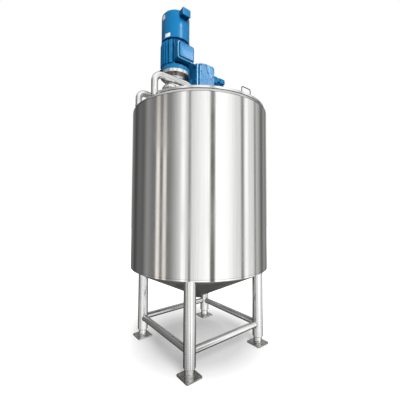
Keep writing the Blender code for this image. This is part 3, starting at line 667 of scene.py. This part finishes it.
def makeMotorFrame(f):
    low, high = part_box("mixer_motor_body")
    core, tip, root, thin, slope = f["core"], f["tip"], f["root"], f["thin"], f["slope"]
    inner = core - 0.006
    # the core between the fins is dark blue as painted shade
    makePiece("mixerMotorCore", "darkAndShadeEnamel",
              turned(((0, low.z), (core + 0.006, low.z), (core, low.z + 0.008), (core, high.z - 0.01),
                      (core + 0.004, high.z), (0, high.z)), mixerAxis))
    start, end = f["pad"]
    parts = []
    for k in range(f["fins"]):
        degrees = 360 * k / f["fins"]
        if abs((degrees + 270) % 360 - 180) < f["boxHalf"] or start - 4 < degrees - 360 < end + 4:
            continue
        turn = Matrix.Rotation(radians(degrees), 3, "Z")
        rings = []
        for z, reach in ((low.z + 0.004, tip - 0.006), (low.z + 0.012, tip), (high.z - slope - 0.01, tip),
                         (high.z - 0.006, tip - slope)):
            profile = ((inner, -root), (reach - 0.001, -thin), (reach, 0), (reach - 0.001, thin), (inner, root))
            rings.append([turn @ Vector((u, v, 0)) + Vector((mixerX, 0, z)) for u, v in profile])
        parts += loft(rings)
    rings = []
    reach = f["padReach"]
    for z, out in ((low.z + 0.004, reach - 0.004), (low.z + 0.010, reach), (high.z - 0.030, reach),
                   (high.z - 0.012, reach - 0.012)):
        rings.append([onMixer(start + (end - start) * share, out - sink, z) for share, sink in
                      ((0, 0.004), (0.15, 0), (0.5, 0), (0.85, 0), (1, 0.004))]
                     + [onMixer(end, inner, z), onMixer(start, inner, z)])
    makePiece("mixerMotorFrame", "castEnamel", parts + loft(rings), replaced="mixer_motor_body")


# mixer fan cowl: drawn sheet with a rolled shoulder, a hem and a wire grille let into the top
cowl = dict(edge=0.022, hem=0.0016, hemHeight=0.010, grille=0.094, sink=0.010, rings=6, bars=8, wire=0.0022,
            screws=(-172, -38, 52, 142), screwLift=0.013)


def grilleOf(centre, direction, outer, rings, inner, bars, wire, drop, past, steps):
    # wire hoops with bars across them, just below
    parts = []
    for k in range(rings):
        parts += hoop(outer * (k + inner) / rings, wire, centre, direction, steps)
    for k in range(bars):
        out = outward(360 * (k + 0.5) / bars)
        if direction != up:
            out = Vector((out.x, 0, out.y))
        middleBar = centre - direction * drop
        parts += tube((middleBar + out * 0.006, middleBar + out * (outer + past)), wire, 8)
    return parts


def makeCowl(c):
    low, high, grille, hem = cowlLow.z, cowlHigh.z, c["grille"], cowlRadius + c["hem"]
    outline = [(0, low), (cowlRadius - 0.004, low), (hem, low + 0.0008), (hem, low + c["hemHeight"]),
               (cowlRadius, low + c["hemHeight"] + 0.002), (cowlRadius, high - c["edge"])]
    outline += quarterRound(cowlRadius, high, c["edge"], 8)
    outline += [(grille + 0.003, high), (grille, high - 0.001), (grille, high - c["sink"]), (0, high - c["sink"])]
    makePiece("mixerCowl", "sheetEnamel", turned(outline, mixerAxis, steps=72), replaced="mixer_fan_cowl")
    centre = Vector((mixerX, 0, high - c["wire"] - 0.0006))
    makePiece("mixerCowlGrille", "darkAndShadeEnamel",
              grilleOf(centre, up, grille, c["rings"], 0.6, c["bars"], c["wire"], c["wire"] * 1.4, 0.001, 48))
    parts = []
    for degrees in c["screws"]:
        parts += turned(((0, 0), (0.0055, 0), (0.0055, 0.0012), (0.0035, 0.003), (0, 0.0034)),
                        onMixer(degrees, cowlRadius + clear, low + c["screwLift"]), outward(degrees), 14)
    makePiece("mixerCowlScrews", "boltSteel", parts)


# two plain stickers on the cowl, left blank: degrees and heights
stickers = dict(upper=(171, 190, 2.999, 3.036), lower=(192.8, 216, 2.807, 2.848))


def makeStickers(s):
    for name, (start, end, low, high) in s.items():
        section = band(cowlRadius + 0.0001, cowlRadius + 0.0005, low, high)
        columns = [[onMixer(start + (end - start) * k / 8, radius, z) for radius, z in section] for k in range(9)]
        makePiece(name + "BlankSticker", "whiteLabel", loft(columns))


# terminal box: light-blue flange as painted highlight, domed lid over a dark band of painted shade, four screws, two
# cable entries below
terminalBox = dict(corner=0.016, edge=0.005, flange=0.007, overhang=0.008, gapShade=0.0045, gapShadeInset=0.007,
                   lidInset=0.014, screwInset=0.026, glandRadius=0.010, glands=(-0.040, 0.034))


def makeTerminalBox(t):
    low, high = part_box("mixer_box_cover")
    width, height = high.x - low.x, high.z - low.z
    corner, flange = t["corner"], t["flange"]
    x, y, z = (low.x + high.x) / 2, -motorFrame["core"] * 0.86, (low.z + high.z) / 2
    inset = 2 * t["overhang"]
    makePiece("terminalBoxBody", "castEnamel",
              block(width - inset, height - inset, y - high.y - 0.0005, corner, 0.001, (x, y, z), steps=1),
              replaced="mixer_terminal_box")
    makePiece("terminalBoxFlange", "highlightEnamel",
              block(width, height, flange, corner, 0.0025, (x, high.y + flange / 2, z)))
    y = high.y - flange / 2 - 0.0001
    inset = 2 * t["gapShadeInset"]
    # dark blue band between the flange and the lid: painted shade in the joint
    makePiece("terminalBoxGapShade", "darkAndShadeEnamel",
              block(width - inset, height - inset, t["gapShade"], corner - 0.004, 0.0005, (x, y, z), steps=1))
    y -= t["gapShade"] + 0.0001
    inset = 2 * t["lidInset"]
    makePiece("terminalBoxLid", "sheetEnamel",
              block(width - inset, height - inset, y - low.y, corner - 0.004, t["edge"], (x, y, z)),
              replaced="mixer_box_cover")
    makePiece("terminalBoxScrews", "boltSteel",
              cornerScrews(Vector((x, low.y + 0.0012, z)), width, height, t["screwInset"], 0.0042, 0.0010))
    radius = t["glandRadius"]
    outline = ((0, 0), (radius, 0), (radius, 0.004), (radius * 0.8, 0.004), (radius * 0.8, 0.007), (radius, 0.009),
               (radius * 0.95, 0.011), (radius * 0.7, 0.014), (0, 0.014))
    parts = []
    for across in t["glands"]:
        parts += turned(outline, (high.x - t["overhang"] - 0.001, high.y + 0.028, z + across), (1, 0, 0), 12)
    makePiece("terminalBoxGlands", "blackRubber", parts)


# small box on the cowl
topBox = dict(corner=0.011, edge=0.006, lid=0.014)


def makeTopBox(t):
    low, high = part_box("mixer_top_box")
    width, height, corner = high.x - low.x, high.z - low.z, t["corner"]
    centre = Vector(((low.x + high.x) / 2, low.y + t["lid"], (low.z + high.z) / 2))
    rear = Vector((centre.x, -cowlRadius * 0.93, centre.z))
    makePiece("cowlBox", "sheetEnamel", block(width, height, t["lid"], corner, t["edge"], centre),
              replaced="mixer_top_box")
    makePiece("cowlBoxBody", "darkAndShadeEnamel",
              block(width - 0.004, height - 0.004, rear.y - centre.y - 0.0025, corner, 0.001, rear, steps=2))
    makePiece("cowlBoxGasket", "blackRubber",
              block(width - 0.006, height - 0.006, 0.004, corner, 0.0005, centre + back * 0.0035, steps=1))
    centre.y = low.y + 0.0006
    makePiece("cowlBoxScrews", "boltSteel", cornerScrews(centre, width, height, 0.012, 0.0032, 0.0008))


# lifting eye on the frame, the drive flange's bolts and the end shield's bosses
eye = dict(degrees=-128, z=2.742, ring=0.014, wire=0.0042)
flange = dict(bolts=8, across=0.015, circle=0.1245, start=14, plugDegrees=173, plugAcross=0.026)


def makeEye(e):
    out = outward(e["degrees"])
    base = onMixer(e["degrees"], motorFrame["core"] - 0.002, e["z"])
    parts = turned(((0, 0), (0.011, 0), (0.011, 0.006), (0.006, 0.008), (0.006, 0.016), (0, 0.016)), base, out, 20)
    parts += hoop(e["ring"], e["wire"], base + out * (0.015 + e["ring"]), out.cross(up) + out * 0.2, 28)
    makePiece("liftingEye", "sheetEnamel", parts)


def makeFlangeBolts(f):
    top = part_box("mixer_neck")[1].z
    low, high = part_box("mixer_end_shield")
    makePiece("mixerFlangeBolts", "darkSteel", boltCircle((mixerX, 0, top - neckRing), f["circle"], f["bolts"],
                                                          -up, f["across"], f["start"]))
    parts = []
    for k in range(4):
        place = onMixer(-128 + 90 * k, (high.x - low.x) / 2 - 0.013, high.z - 0.012)
        parts += turned(((0, 0), (0.012, 0), (0.012, 0.014), (0.009, 0.020), (0, 0.020)), place, steps=18)
        parts += bolt(place + up * 0.020, up, 0.010, washer=False)
    makePiece("endShieldBosses", "castEnamel", parts)
    place = onMixer(f["plugDegrees"], 0.133, top - 0.001)
    makePiece("drainPlug", "blackOxide",
              bolt(place, outward(f["plugDegrees"]) * 0.4 - up, f["plugAcross"], tall=0.8)
              + turned(band(0, 0.011, -0.004, 0.014), place, steps=16))


# the drive's stepped neck, with its ring seams and foot bolts
neckTrim = dict(inner=0.0725, collar=0.100, collarHeight=0.016, step=0.086, stepHeight=0.018, groove=0.090,
                grooveHeight=0.006, backing=0.130, backingHeight=0.004, footFlange=0.014, footBolts=8,
                footCircle=0.0855, footAcross=0.013)


def makeNeckTrim(n):
    low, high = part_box("mixer_neck")
    inner, collar, step, groove = n["inner"], n["collar"], n["step"], n["groove"]
    seat = high.z - neckRing
    top = seat - n["backingHeight"]
    # the backing ring's dark finish is painted shade under the flange
    makePiece("mixerBackingRing", "flangeShadeSteel",
              turned(band(inner, n["backing"], seat - 0.0001, top), mixerAxis, closed=True))
    top -= clear
    foot = top - n["collarHeight"]
    stepFoot = foot - n["stepHeight"]
    makePiece("mixerNeckCollar", "skirtSteel",
              turned(((inner, top), (collar, top), (collar, foot + 0.002), (collar - 0.002, foot), (groove, foot),
                      (groove, foot - n["grooveHeight"]), (step, foot - n["grooveHeight"]), (step, stepFoot),
                      (inner, stepFoot - 0.016)), mixerAxis, closed=True))
    makePiece("mixerFootBolts", "boltSteel", boltCircle((mixerX, 0, low.z + n["footFlange"] + clear),
                                                        n["footCircle"], n["footBolts"], up, n["footAcross"]))


makeMotorFrame(motorFrame)
makeCowl(cowl)
makeStickers(stickers)
makeTerminalBox(terminalBox)
makeTopBox(topBox)
makeEye(eye)
makeFlangeBolts(flange)
makeNeckTrim(neckTrim)
print("mixer drive dressed")


# gearbox: casting details on the face (across and up), with painted highlights on the ribs and painted shade in the
# flute, bolts, web, and edges of painted highlight beside a joint of painted shade
gearbox = dict(
    rim=((-0.022, 2.676), (0.080, 2.676), (0.086, 2.670), (0.087, 2.618)),
    ridges=(((0.004, 2.672), (0.037, 2.606), 0.022), ((-0.072, 2.572), (-0.034, 2.548), 0.010),
            ((-0.034, 2.548), (0.016, 2.530), 0.010), ((0.037, 2.606), (0.050, 2.560), 0.018)),
    valley=((-0.022, 2.674), (0.010, 2.586), 0.016),
    proud=0.006,
    plug=(0.047, 2.557),
    screws=((-0.080, 2.650), (-0.080, 2.590), (-0.080, 2.500), (-0.080, 2.400), (0.074, 2.656), (0.074, 2.580),
            (0.074, 2.480), (0.074, 2.380), (-0.003, 2.300)),
    web=((-0.105, 0.0), (-0.060, 0.028), (0.0, 0.054), (0.060, 0.074), (0.110, 0.084), (0.128, 0.060), (0.128, 0.0)),
    footFlange=0.118, footHeight=0.013, footBolts=6,
    coverBolt=0.016, coverThickness=0.017, coverInset=0.020, faceEdge=0.006,
)


def rib(start, end, width, proud, face):
    a, b = Vector((start[0], 0, start[1])), Vector((end[0], 0, end[1]))
    along = (b - a).normalized()
    side = Vector((along.z, 0, -along.x)) * width / 2
    rings = []
    for point, out in ((a, 0.3), (a + along * proud, 1.0), (b - along * proud, 1.0), (b, 0.3)):
        foot, crest = point + back * (face + 0.001), point + back * (face - proud * out)
        rings.append([foot + side, crest + side * 0.25, crest - side * 0.25, foot - side])
    return loft(rings)


def makeGearbox(g):
    low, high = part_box("gearbox_housing")
    face = low.y
    parts = []
    for start, end in zip(g["rim"], g["rim"][1:]):
        parts += rib(start, end, 0.010, g["proud"] * 0.8, face)
    for start, end, width in g["ridges"]:
        parts += rib(start, end, width, g["proud"], face)
    # the ribs' light blue is painted highlight
    makePiece("gearboxRibs", "highlightEnamel", parts)
    # dark stripe down the valley: painted shade
    makePiece("gearboxFluteShade", "darkAndShadeEnamel", rib(*g["valley"], 0.0008, face))
    makePiece("gearboxPlug", "palePlug", turned(((0, 0), (0.011, 0), (0.011, 0.003), (0.0077, 0.0065), (0, 0.007)),
                                                (g["plug"][0], face, g["plug"][1]), front, 24))
    parts = []
    for x, z in g["screws"]:
        parts += socketScrew((x, face + clear, z), 0.0055, 0.005)
    makePiece("gearboxScrews", "darkAndShadeEnamel", parts)
    cover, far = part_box("gearbox_cover")
    left, thickness, inset, z = cover.x + clear, g["coverThickness"], g["coverInset"], (cover.z + far.z) / 2
    parts = []
    for y in (cover.y + inset, 0, far.y - inset):
        for level in (cover.z + inset, z, far.z - inset):
            if y or level != z:
                parts += bolt((left, y, level), (-1, 0, 0), g["coverBolt"], washer=False, tall=0.5)
    parts += turned(((0, 0), (0.052, 0), (0.052, 0.004), (0.046, 0.007), (0, 0.007)), (left, 0, z), (-1, 0, 0), 40)
    makePiece("gearboxCoverBolts", "castEnamel", parts)
    makePiece("gearboxCoverWeb", "castEnamel",
              loft([[(x, y, far.z + clear + rise) for y, rise in g["web"]]
                    for x in (cover.x + 0.001, cover.x + thickness - 0.001)]))
    # painted highlights: light strips on both sides of the cover's joint, which is filled with painted shade
    parts = []
    for start, end, y, bottom, top in (
            (cover.x + 0.001, cover.x + thickness - 0.004, cover.y, cover.z + 0.004, far.z - 0.004),
            (low.x + 0.0005, low.x + g["faceEdge"], face, low.z + 0.004, high.z - 0.012)):
        parts += block(end - start, top - bottom, 0.0024, 0.002, 0.001,
                       ((start + end) / 2, y - clear, (bottom + top) / 2), steps=1)
    makePiece("gearboxEdgeHighlights", "highlightEnamel", parts)
    start = cover.x + thickness + 0.0003
    # dark plate in the joint between cover and housing: painted shade
    makePiece("gearboxJointShade", "darkAndShadeEnamel", block(low.x - start - 0.0003, far.z - cover.z, 0.006, 0.002, 0.001,
                                                  ((start + low.x) / 2, face + 0.012, z)))
    base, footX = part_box("gearbox_foot")[0].z, middle("gearbox_foot").x
    outer, inner = g["footFlange"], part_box("gearbox_foot")[1].x - footX + clear
    top = base + g["footHeight"]
    makePiece("gearboxFootFlange", "castEnamel",
              turned(((inner, base), (outer, base), (outer, top - 0.002), (outer - 0.002, top), (inner + 0.004, top),
                      (inner, top + 0.006)), (footX, 0, 0), closed=True))
    makePiece("gearboxFootBolts", "boltSteel",
              boltCircle((footX, 0, top + 0.0001), outer - 0.014, g["footBolts"], up, 0.015))


# the block beside the gearbox: stepped top, notch in its front with painted shade at its back, and bolts
sideBlock = dict(
    top=((0.0, -0.002), (0.030, -0.002), (0.034, -0.006), (0.062, -0.006), (0.066, 0.0), (0.132, 0.0),
         (0.141, -0.004), (0.146, -0.012)),
    notch=((0.146, -0.045), (0.076, -0.053), (0.072, -0.034), (0.054, -0.048), (0.038, -0.046), (0.032, -0.070),
           (0.0, -0.066)),
    screws=((0.020, -0.020), (0.085, -0.020), (0.128, -0.026)),
    notchDepth=0.020,
    edge=0.003,
)


def slab(outline, near, far, edge):
    # an upright slab with its front edge drawn in
    points = [Vector((u, 0, w)) for u, w in outline]
    centre = sum(points, Vector()) / len(points)
    return loft([[point + back * y + (centre - point).normalized() * pull for point in points]
                 for y, pull in ((far, 0.0), (near + edge, 0.0), (near, edge))])


def makeSideBlock(b):
    low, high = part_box("gearbox_block")
    edge, step = b["edge"], low.y + b["notchDepth"]
    top, notch = [[(low.x + u, high.z + w) for u, w in b[name]] for name in ("top", "notch")]
    # the front slab stands above the notch, so the notch is open below
    parts = slab(top + [(high.x, low.z), (low.x, low.z)], step, high.y, edge)
    parts += slab(top + notch, low.y, step - clear, edge)
    for y, z in ((low.y + 0.075, high.z - 0.10), (high.y - 0.03, high.z - 0.03), (high.y - 0.03, low.z + 0.03),
                 (low.y + 0.075, low.z + 0.03)):
        parts += bolt((high.x - clear, y, z), (1, 0, 0), 0.014, washer=False, tall=0.1)
    makePiece("gearboxSideBlock", "castEnamel", parts, replaced="gearbox_block")
    # dark plate at the back of the notch: painted shade
    shadeOutline = [(notch[0][0] - 0.004, notch[0][1] + 0.01)] + [(u, w + 0.01) for u, w in notch[1:-1]]
    shadeOutline += [(low.x + 0.001, high.z - 0.05), (low.x + 0.001, low.z + 0.004), (high.x - 0.004, low.z + 0.004)]
    makePiece("sideBlockRecessShade", "darkAndShadeEnamel", slab(shadeOutline, step - 0.006, step - 0.0003, edge))
    parts = []
    for u, w in b["screws"]:
        parts += socketScrew((low.x + u, low.y + clear, high.z + w), 0.0055, 0.004)
    makePiece("sideBlockScrews", "darkAndShadeEnamel", parts)


# the lying motor behind the gearbox: fins, cowl with a grille, small box on top
lyingMotor = dict(fins=30, core=0.068, root=0.0030, thin=0.0016, edge=0.012, grille=0.056, bars=6, wire=0.0018,
                  boxSize=(0.090, 0.100, 0.050))


def makeLyingMotor(m):
    low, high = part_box("gear_motor_body")
    near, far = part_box("gear_motor_cowl")
    x, z = middle("gear_motor_cowl").x, middle("gear_motor_cowl").z
    core, edge, grille = m["core"], m["edge"], m["grille"]
    adapter, tip, length, cowlLength = high.x - x, far.x - x, high.y - low.y - 0.001, far.y - near.y
    parts = turned(((0, 0), (adapter, 0), (adapter, 0.014), (adapter - 0.012, 0.020), (adapter - 0.012, 0.034),
                    (adapter, 0.038), (adapter, 0.050), (core + 0.010, 0.052), (core, 0.058), (core, length),
                    (0, length)), (x, low.y, z), back)
    split = low.y + 0.050
    for k in range(m["fins"]):
        angle = tau * (k + 0.5) / m["fins"]
        if abs(angle - pi / 2) < 0.55:
            continue
        turn = Matrix.Rotation(-angle, 3, "Y")
        rings = []
        for y, reach in ((split + 0.004, tip - 0.006), (split + 0.010, tip - 0.001), (high.y - 0.012, tip - 0.001),
                         (high.y - 0.003, tip - 0.008)):
            profile = ((core - 0.004, -m["root"]), (reach, -m["thin"]), (reach, m["thin"]), (core - 0.004, m["root"]))
            rings.append([turn @ Vector((u, 0, v)) + Vector((x, y, z)) for u, v in profile])
        parts += loft(rings)
    makePiece("lyingMotorFrame", "castEnamel", parts, replaced="gear_motor_body")
    outline = [(0, 0), (tip, 0), (tip, cowlLength - edge)] + quarterRound(tip, cowlLength, edge, 6)
    outline += [(grille, cowlLength), (grille, cowlLength - 0.008), (0, cowlLength - 0.008)]
    makePiece("lyingMotorCowl", "sheetEnamel", turned(outline, (x, near.y, z), back, 56), replaced="gear_motor_cowl")
    makePiece("lyingMotorGrille", "darkAndShadeEnamel",
              grilleOf(Vector((x, far.y - 0.0028, z)), back, grille, 4, 0.7, m["bars"], m["wire"], 0.002,
                       0.0008, 40))
    wide, deep, tall = m["boxSize"]
    base = Vector((x, (split + high.y) / 2, z + core - 0.006))
    makePiece("lyingMotorBox", "sheetEnamel",
              block(wide - 0.006, deep - 0.006, tall - 0.012, 0.008, 0.001, base, up, 1)
              + block(wide, deep, 0.012, 0.010, 0.005, base + up * (tall - 0.0115), up))


makeGearbox(gearbox)
makeSideBlock(sideBlock)
makeLyingMotor(lyingMotor)
print("gearbox dressed")


# tank top: a black ring of painted shade under the lids, seal beside the flap, hinge screws and pins, handle feet
topTrim = dict(gapShade=0.024, gapShadeRise=0.0098, seal=0.0035, sealHalf=0.545, screw=0.0045, screwTall=0.003,
               screwPlaces=(0.014, 0.035, 0.056), pad=0.0095, padTall=0.0030, pinHead=0.0085)


def makeTopTrim(t):
    low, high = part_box("rim_ring")
    # black ring under the lid skirt: painted shade
    makePiece("rimGapShade", "blackRubber",
              turned(band(high.x + 0.0003, high.x + t["gapShade"], low.z + 0.0003, low.z + t["gapShadeRise"]),
                     (0, 0, 0), steps=128, closed=True))
    low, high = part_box("bridge_plate")
    seal = t["seal"]
    section = [(low.y - clear + u, (low.z + high.z) / 2 + w)
               for u, w in ((-seal, -0.002), (-seal * 0.6, 0.003), (0, 0.0034), (0, -0.0030))]
    ends = -t["sealHalf"], t["sealHalf"]
    makePiece("bridgeSeal", "blackRubber", loft([[(x, y, z) for y, z in section] for x in ends]))
    parts = []
    for name in ("hinge_leaf_left", "hinge_leaf_right"):
        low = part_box(name)[0]
        for across in t["screwPlaces"]:
            parts += socketScrew(low + Vector((across, 0.010, 0.0056)), t["screw"], t["screwTall"], up)
    makePiece("hingeLeafScrews", "boltSteel", parts, body="flap")
    head, axis = t["pinHead"], frame["record"]["behaviour"]["joints"][0]["pos_m"]
    parts = []
    for name, end, way in (("hinge_bracket_left", 0, -1), ("hinge_bracket_right", 1, 1)):
        parts += turned(((0, 0), (head, 0), (head, 0.002), (head * 0.7, 0.004), (0, 0.0045)),
                        (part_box(name)[end].x + way * clear, axis[1], axis[2]), (way, 0, 0), 24)
    makePiece("hingePinHeads", "boltSteel", parts)
    low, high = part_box("flap_handle")
    rod, pad, foot, tall = (high.y - low.y) / 2, t["pad"], low.z, t["padTall"]
    outline = ((rod + clear, foot), (pad, foot), (pad, foot + tall / 2), (rod + 0.002, foot + tall),
               (rod + clear, foot + tall))
    parts = []
    for x in (low.x + rod, high.x - rod):
        parts += turned(outline, (x, (low.y + high.y) / 2, 0), steps=24, closed=True)
    makePiece("handlePads", "weldSteel", parts, body="flap")


# nozzle: hinged clamp round the joint, wing nut, and the knob on the cap
nozzleClamp = dict(proud=0.0075, half=0.010, gap=0.006, knob=0.009, knobTall=0.014)


def makeNozzleClamp(n):
    neckLow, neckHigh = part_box("nozzle_neck")
    capLow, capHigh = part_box("nozzle_cap")
    centre = Vector((middle("nozzle_cap").x, middle("nozzle_cap").y, capLow.z - 0.001))
    radius, inner, half = (capHigh.x - capLow.x) / 2, (neckHigh.x - neckLow.x) / 2 + 0.0003, n["half"]
    outer = radius + n["proud"]
    parts = turned(((inner, -half), (radius - 0.002, -half), (outer, -half / 2), (outer, half / 2),
                    (radius + 0.0004, half * 0.9), (radius + 0.0004, 0.0012), (inner, 0.0006)), centre, closed=True)
    # ears and screw towards the tank's middle
    for across in (-1, 1):
        parts += block(0.016, 0.018, 0.005, 0.004, 0.001, centre + Vector((outer + 0.006, across * n["gap"], 0)),
                       back * across, 1)
    makePiece("nozzleClamp", "tubeSteel", parts)
    start = centre + Vector((outer + 0.007, -0.020, 0))
    parts = tube((start, start + back * 0.040), 0.003)
    parts += turned(band(0, 0.006, 0, 0.008), start + back * 0.026, back, 16)
    for way in (-1, 1):
        tip = start + Vector((0, 0.030, way * 0.006))
        parts += tube((tip, tip + Vector((0, 0.004, way * 0.006)), tip + Vector((0, 0.004, way * 0.013))), 0.0022, 8)
    makePiece("nozzleWingNut", "boltSteel", parts)
    knob, tall = n["knob"], n["knobTall"]
    centre.z = capHigh.z - 0.001
    makePiece("nozzleKnob", "darkSteel", turned(((0, 0), (knob * 0.6, 0), (knob * 0.5, 0.004), (knob, 0.007),
                                                 (knob, 0.011), (knob * 0.6, tall), (0, tall)), centre, steps=24))


# weld runs at the pipes' feet and ends, the neck, the nozzle, the braces and the feet
weld = dict(neck=0.072, brace=0.0034, foot=0.0028, sleeve=(0.0372, 0.0379, 0.0115), plate=0.037, leg=0.0385)


def saddleBead(leg, toward, legRadius, braceRadius, height, steps=72):
    # the bead follows the line where a brace meets its leg
    ahead = (toward - leg).normalized()
    side = ahead.cross(up)
    rings = []
    for k in range(steps):
        out = side * sin(tau * k / steps) + up * cos(tau * k / steps)
        across = braceRadius * sin(tau * k / steps)
        fromLeg = ahead * sqrt(legRadius ** 2 - across ** 2)
        swell = height * ripple(k)
        rings.append(roundSection(leg + fromLeg + out * braceRadius, out * swell,
                                  (fromLeg + side * across).normalized() * swell))
    return loft(rings, True)


def makeWelds(w):
    parts = []
    for name in ("tall_gooseneck", "low_gooseneck"):
        low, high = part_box(name)
        radius, y = (high.y - low.y) / 2, (low.y + high.y) / 2
        parts += bead(radius, (high.x - radius, y, bridgeTop + 0.0018))
        parts += bead(radius, (low.x + radius, y, shoulderTop + 0.0016))
    low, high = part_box("nozzle_neck")
    parts += bead((high.x - low.x) / 2, ((low.x + high.x) / 2, (low.y + high.y) / 2, low.z + 0.0018))
    parts += bead(w["neck"], (mixerX, 0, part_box("mixer_neck")[0].z + 0.0155))
    makePiece("topWelds", "weldSteel", parts)
    legLow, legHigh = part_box("leg_front")
    low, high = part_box("brace_front_right")
    places = [Vector((middle("leg_" + side).x, middle("leg_" + side).y, (low.z + high.z) / 2)) for side in corners]
    sizes = (legHigh.x - legLow.x) / 2, (high.z - low.z) / 2, w["brace"]
    parts = []
    for leg, following in zip(places, places[1:] + places[:1]):
        parts += saddleBead(leg, following, *sizes) + saddleBead(following, leg, *sizes)
    makePiece("braceWelds", "weldSteel", parts)
    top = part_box("foot_front")[1].z
    inner, outer, base = w["sleeve"]
    sleeves, runs = [], []
    for leg in places:
        foot = Vector((leg.x, leg.y, 0))
        sleeves += turned(band(inner, outer, base, top - 0.0006), foot, closed=True)
        runs += bead(w["plate"], foot + up * 0.0135, 0.006, w["foot"], 72)
        runs += bead(w["leg"], foot + up * (top - 0.0015), 0.005, w["foot"], 72)
    makePiece("footSleeves", "tubeSteel", sleeves)
    makePiece("footWelds", "weldSteel", runs)


# drain ferrule, and the seams: down the cone's straight side, and where the cladding's sheet meets itself
ferrule = dict(inner=0.0258, outer=0.0315, tall=0.0028)
coneSeam = dict(degrees=40, half=0.0035, proud=0.0012, steps=40, start=0.060, length=0.40, tip=0.0283, slope=26)
shellSeam = dict(degrees=52, half=0.004, proud=0.0009, steps=160)


def makeFerrule(f):
    z, inner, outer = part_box("outlet_stub")[0].z, f["inner"], f["outer"]
    makePiece("drainFerrule", "plateSteel",
              turned(((inner, z + 0.0004), (outer - 0.002, z + 0.0004), (outer, z + 0.0012), (outer, z + f["tall"]),
                      (inner, z + f["tall"] + 0.0015)), (0, 0, 0), closed=True))


def makeSeam(name, s, swing, root, path):
    # path gives the seam's middle and its outward direction at a share of its length
    turn = Matrix.Rotation(radians(s["degrees"]), 3, "Z")
    rings = []
    for k in range(s["steps"] + 1):
        place, out = path(k / s["steps"])
        swell = s["proud"] * ripple(k, swing, 2.4)
        section = ((-1, root), (-0.5, swell * 0.8), (0, swell), (0.5, swell * 0.8), (1, root))
        rings.append([turn @ (Vector(place) + back * across * s["half"] + Vector(out) * lift)
                      for across, lift in section])
    makePiece(name, "weldSteel", loft(rings))


def onCone(share):
    radius = coneSeam["start"] + coneSeam["length"] * share
    rise = (radius - coneSeam["tip"]) * tan(radians(coneSeam["slope"]))
    return (radius, 0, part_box("bottom_cone")[0].z + rise), -up


def onShell(share):
    return (shellHigh.x, 0, lowEdge + 0.004 + (topEdge - lowEdge - 0.008) * share), (1, 0, 0)


makeTopTrim(topTrim)
makeNozzleClamp(nozzleClamp)
makeWelds(weld)
makeFerrule(ferrule)
makeSeam("coneSeam", coneSeam, 0.15, -0.0004, onCone)
makeSeam("shellSeam", shellSeam, 0.2, -0.0006, onShell)
print("tank trimmed")


# these lamps reach only the pieces that they are for
for name, lamp in lamps.items():
    if "on" in lamp:
        shone = bpy.data.collections.new(name + "Pieces")
        for piece in lamp["on"]:
            shone.objects.link(nodes[piece] if piece in nodes else bpy.data.objects[piece])
        lights[name].light_linking.receiver_collection = shone
print("lamps set")
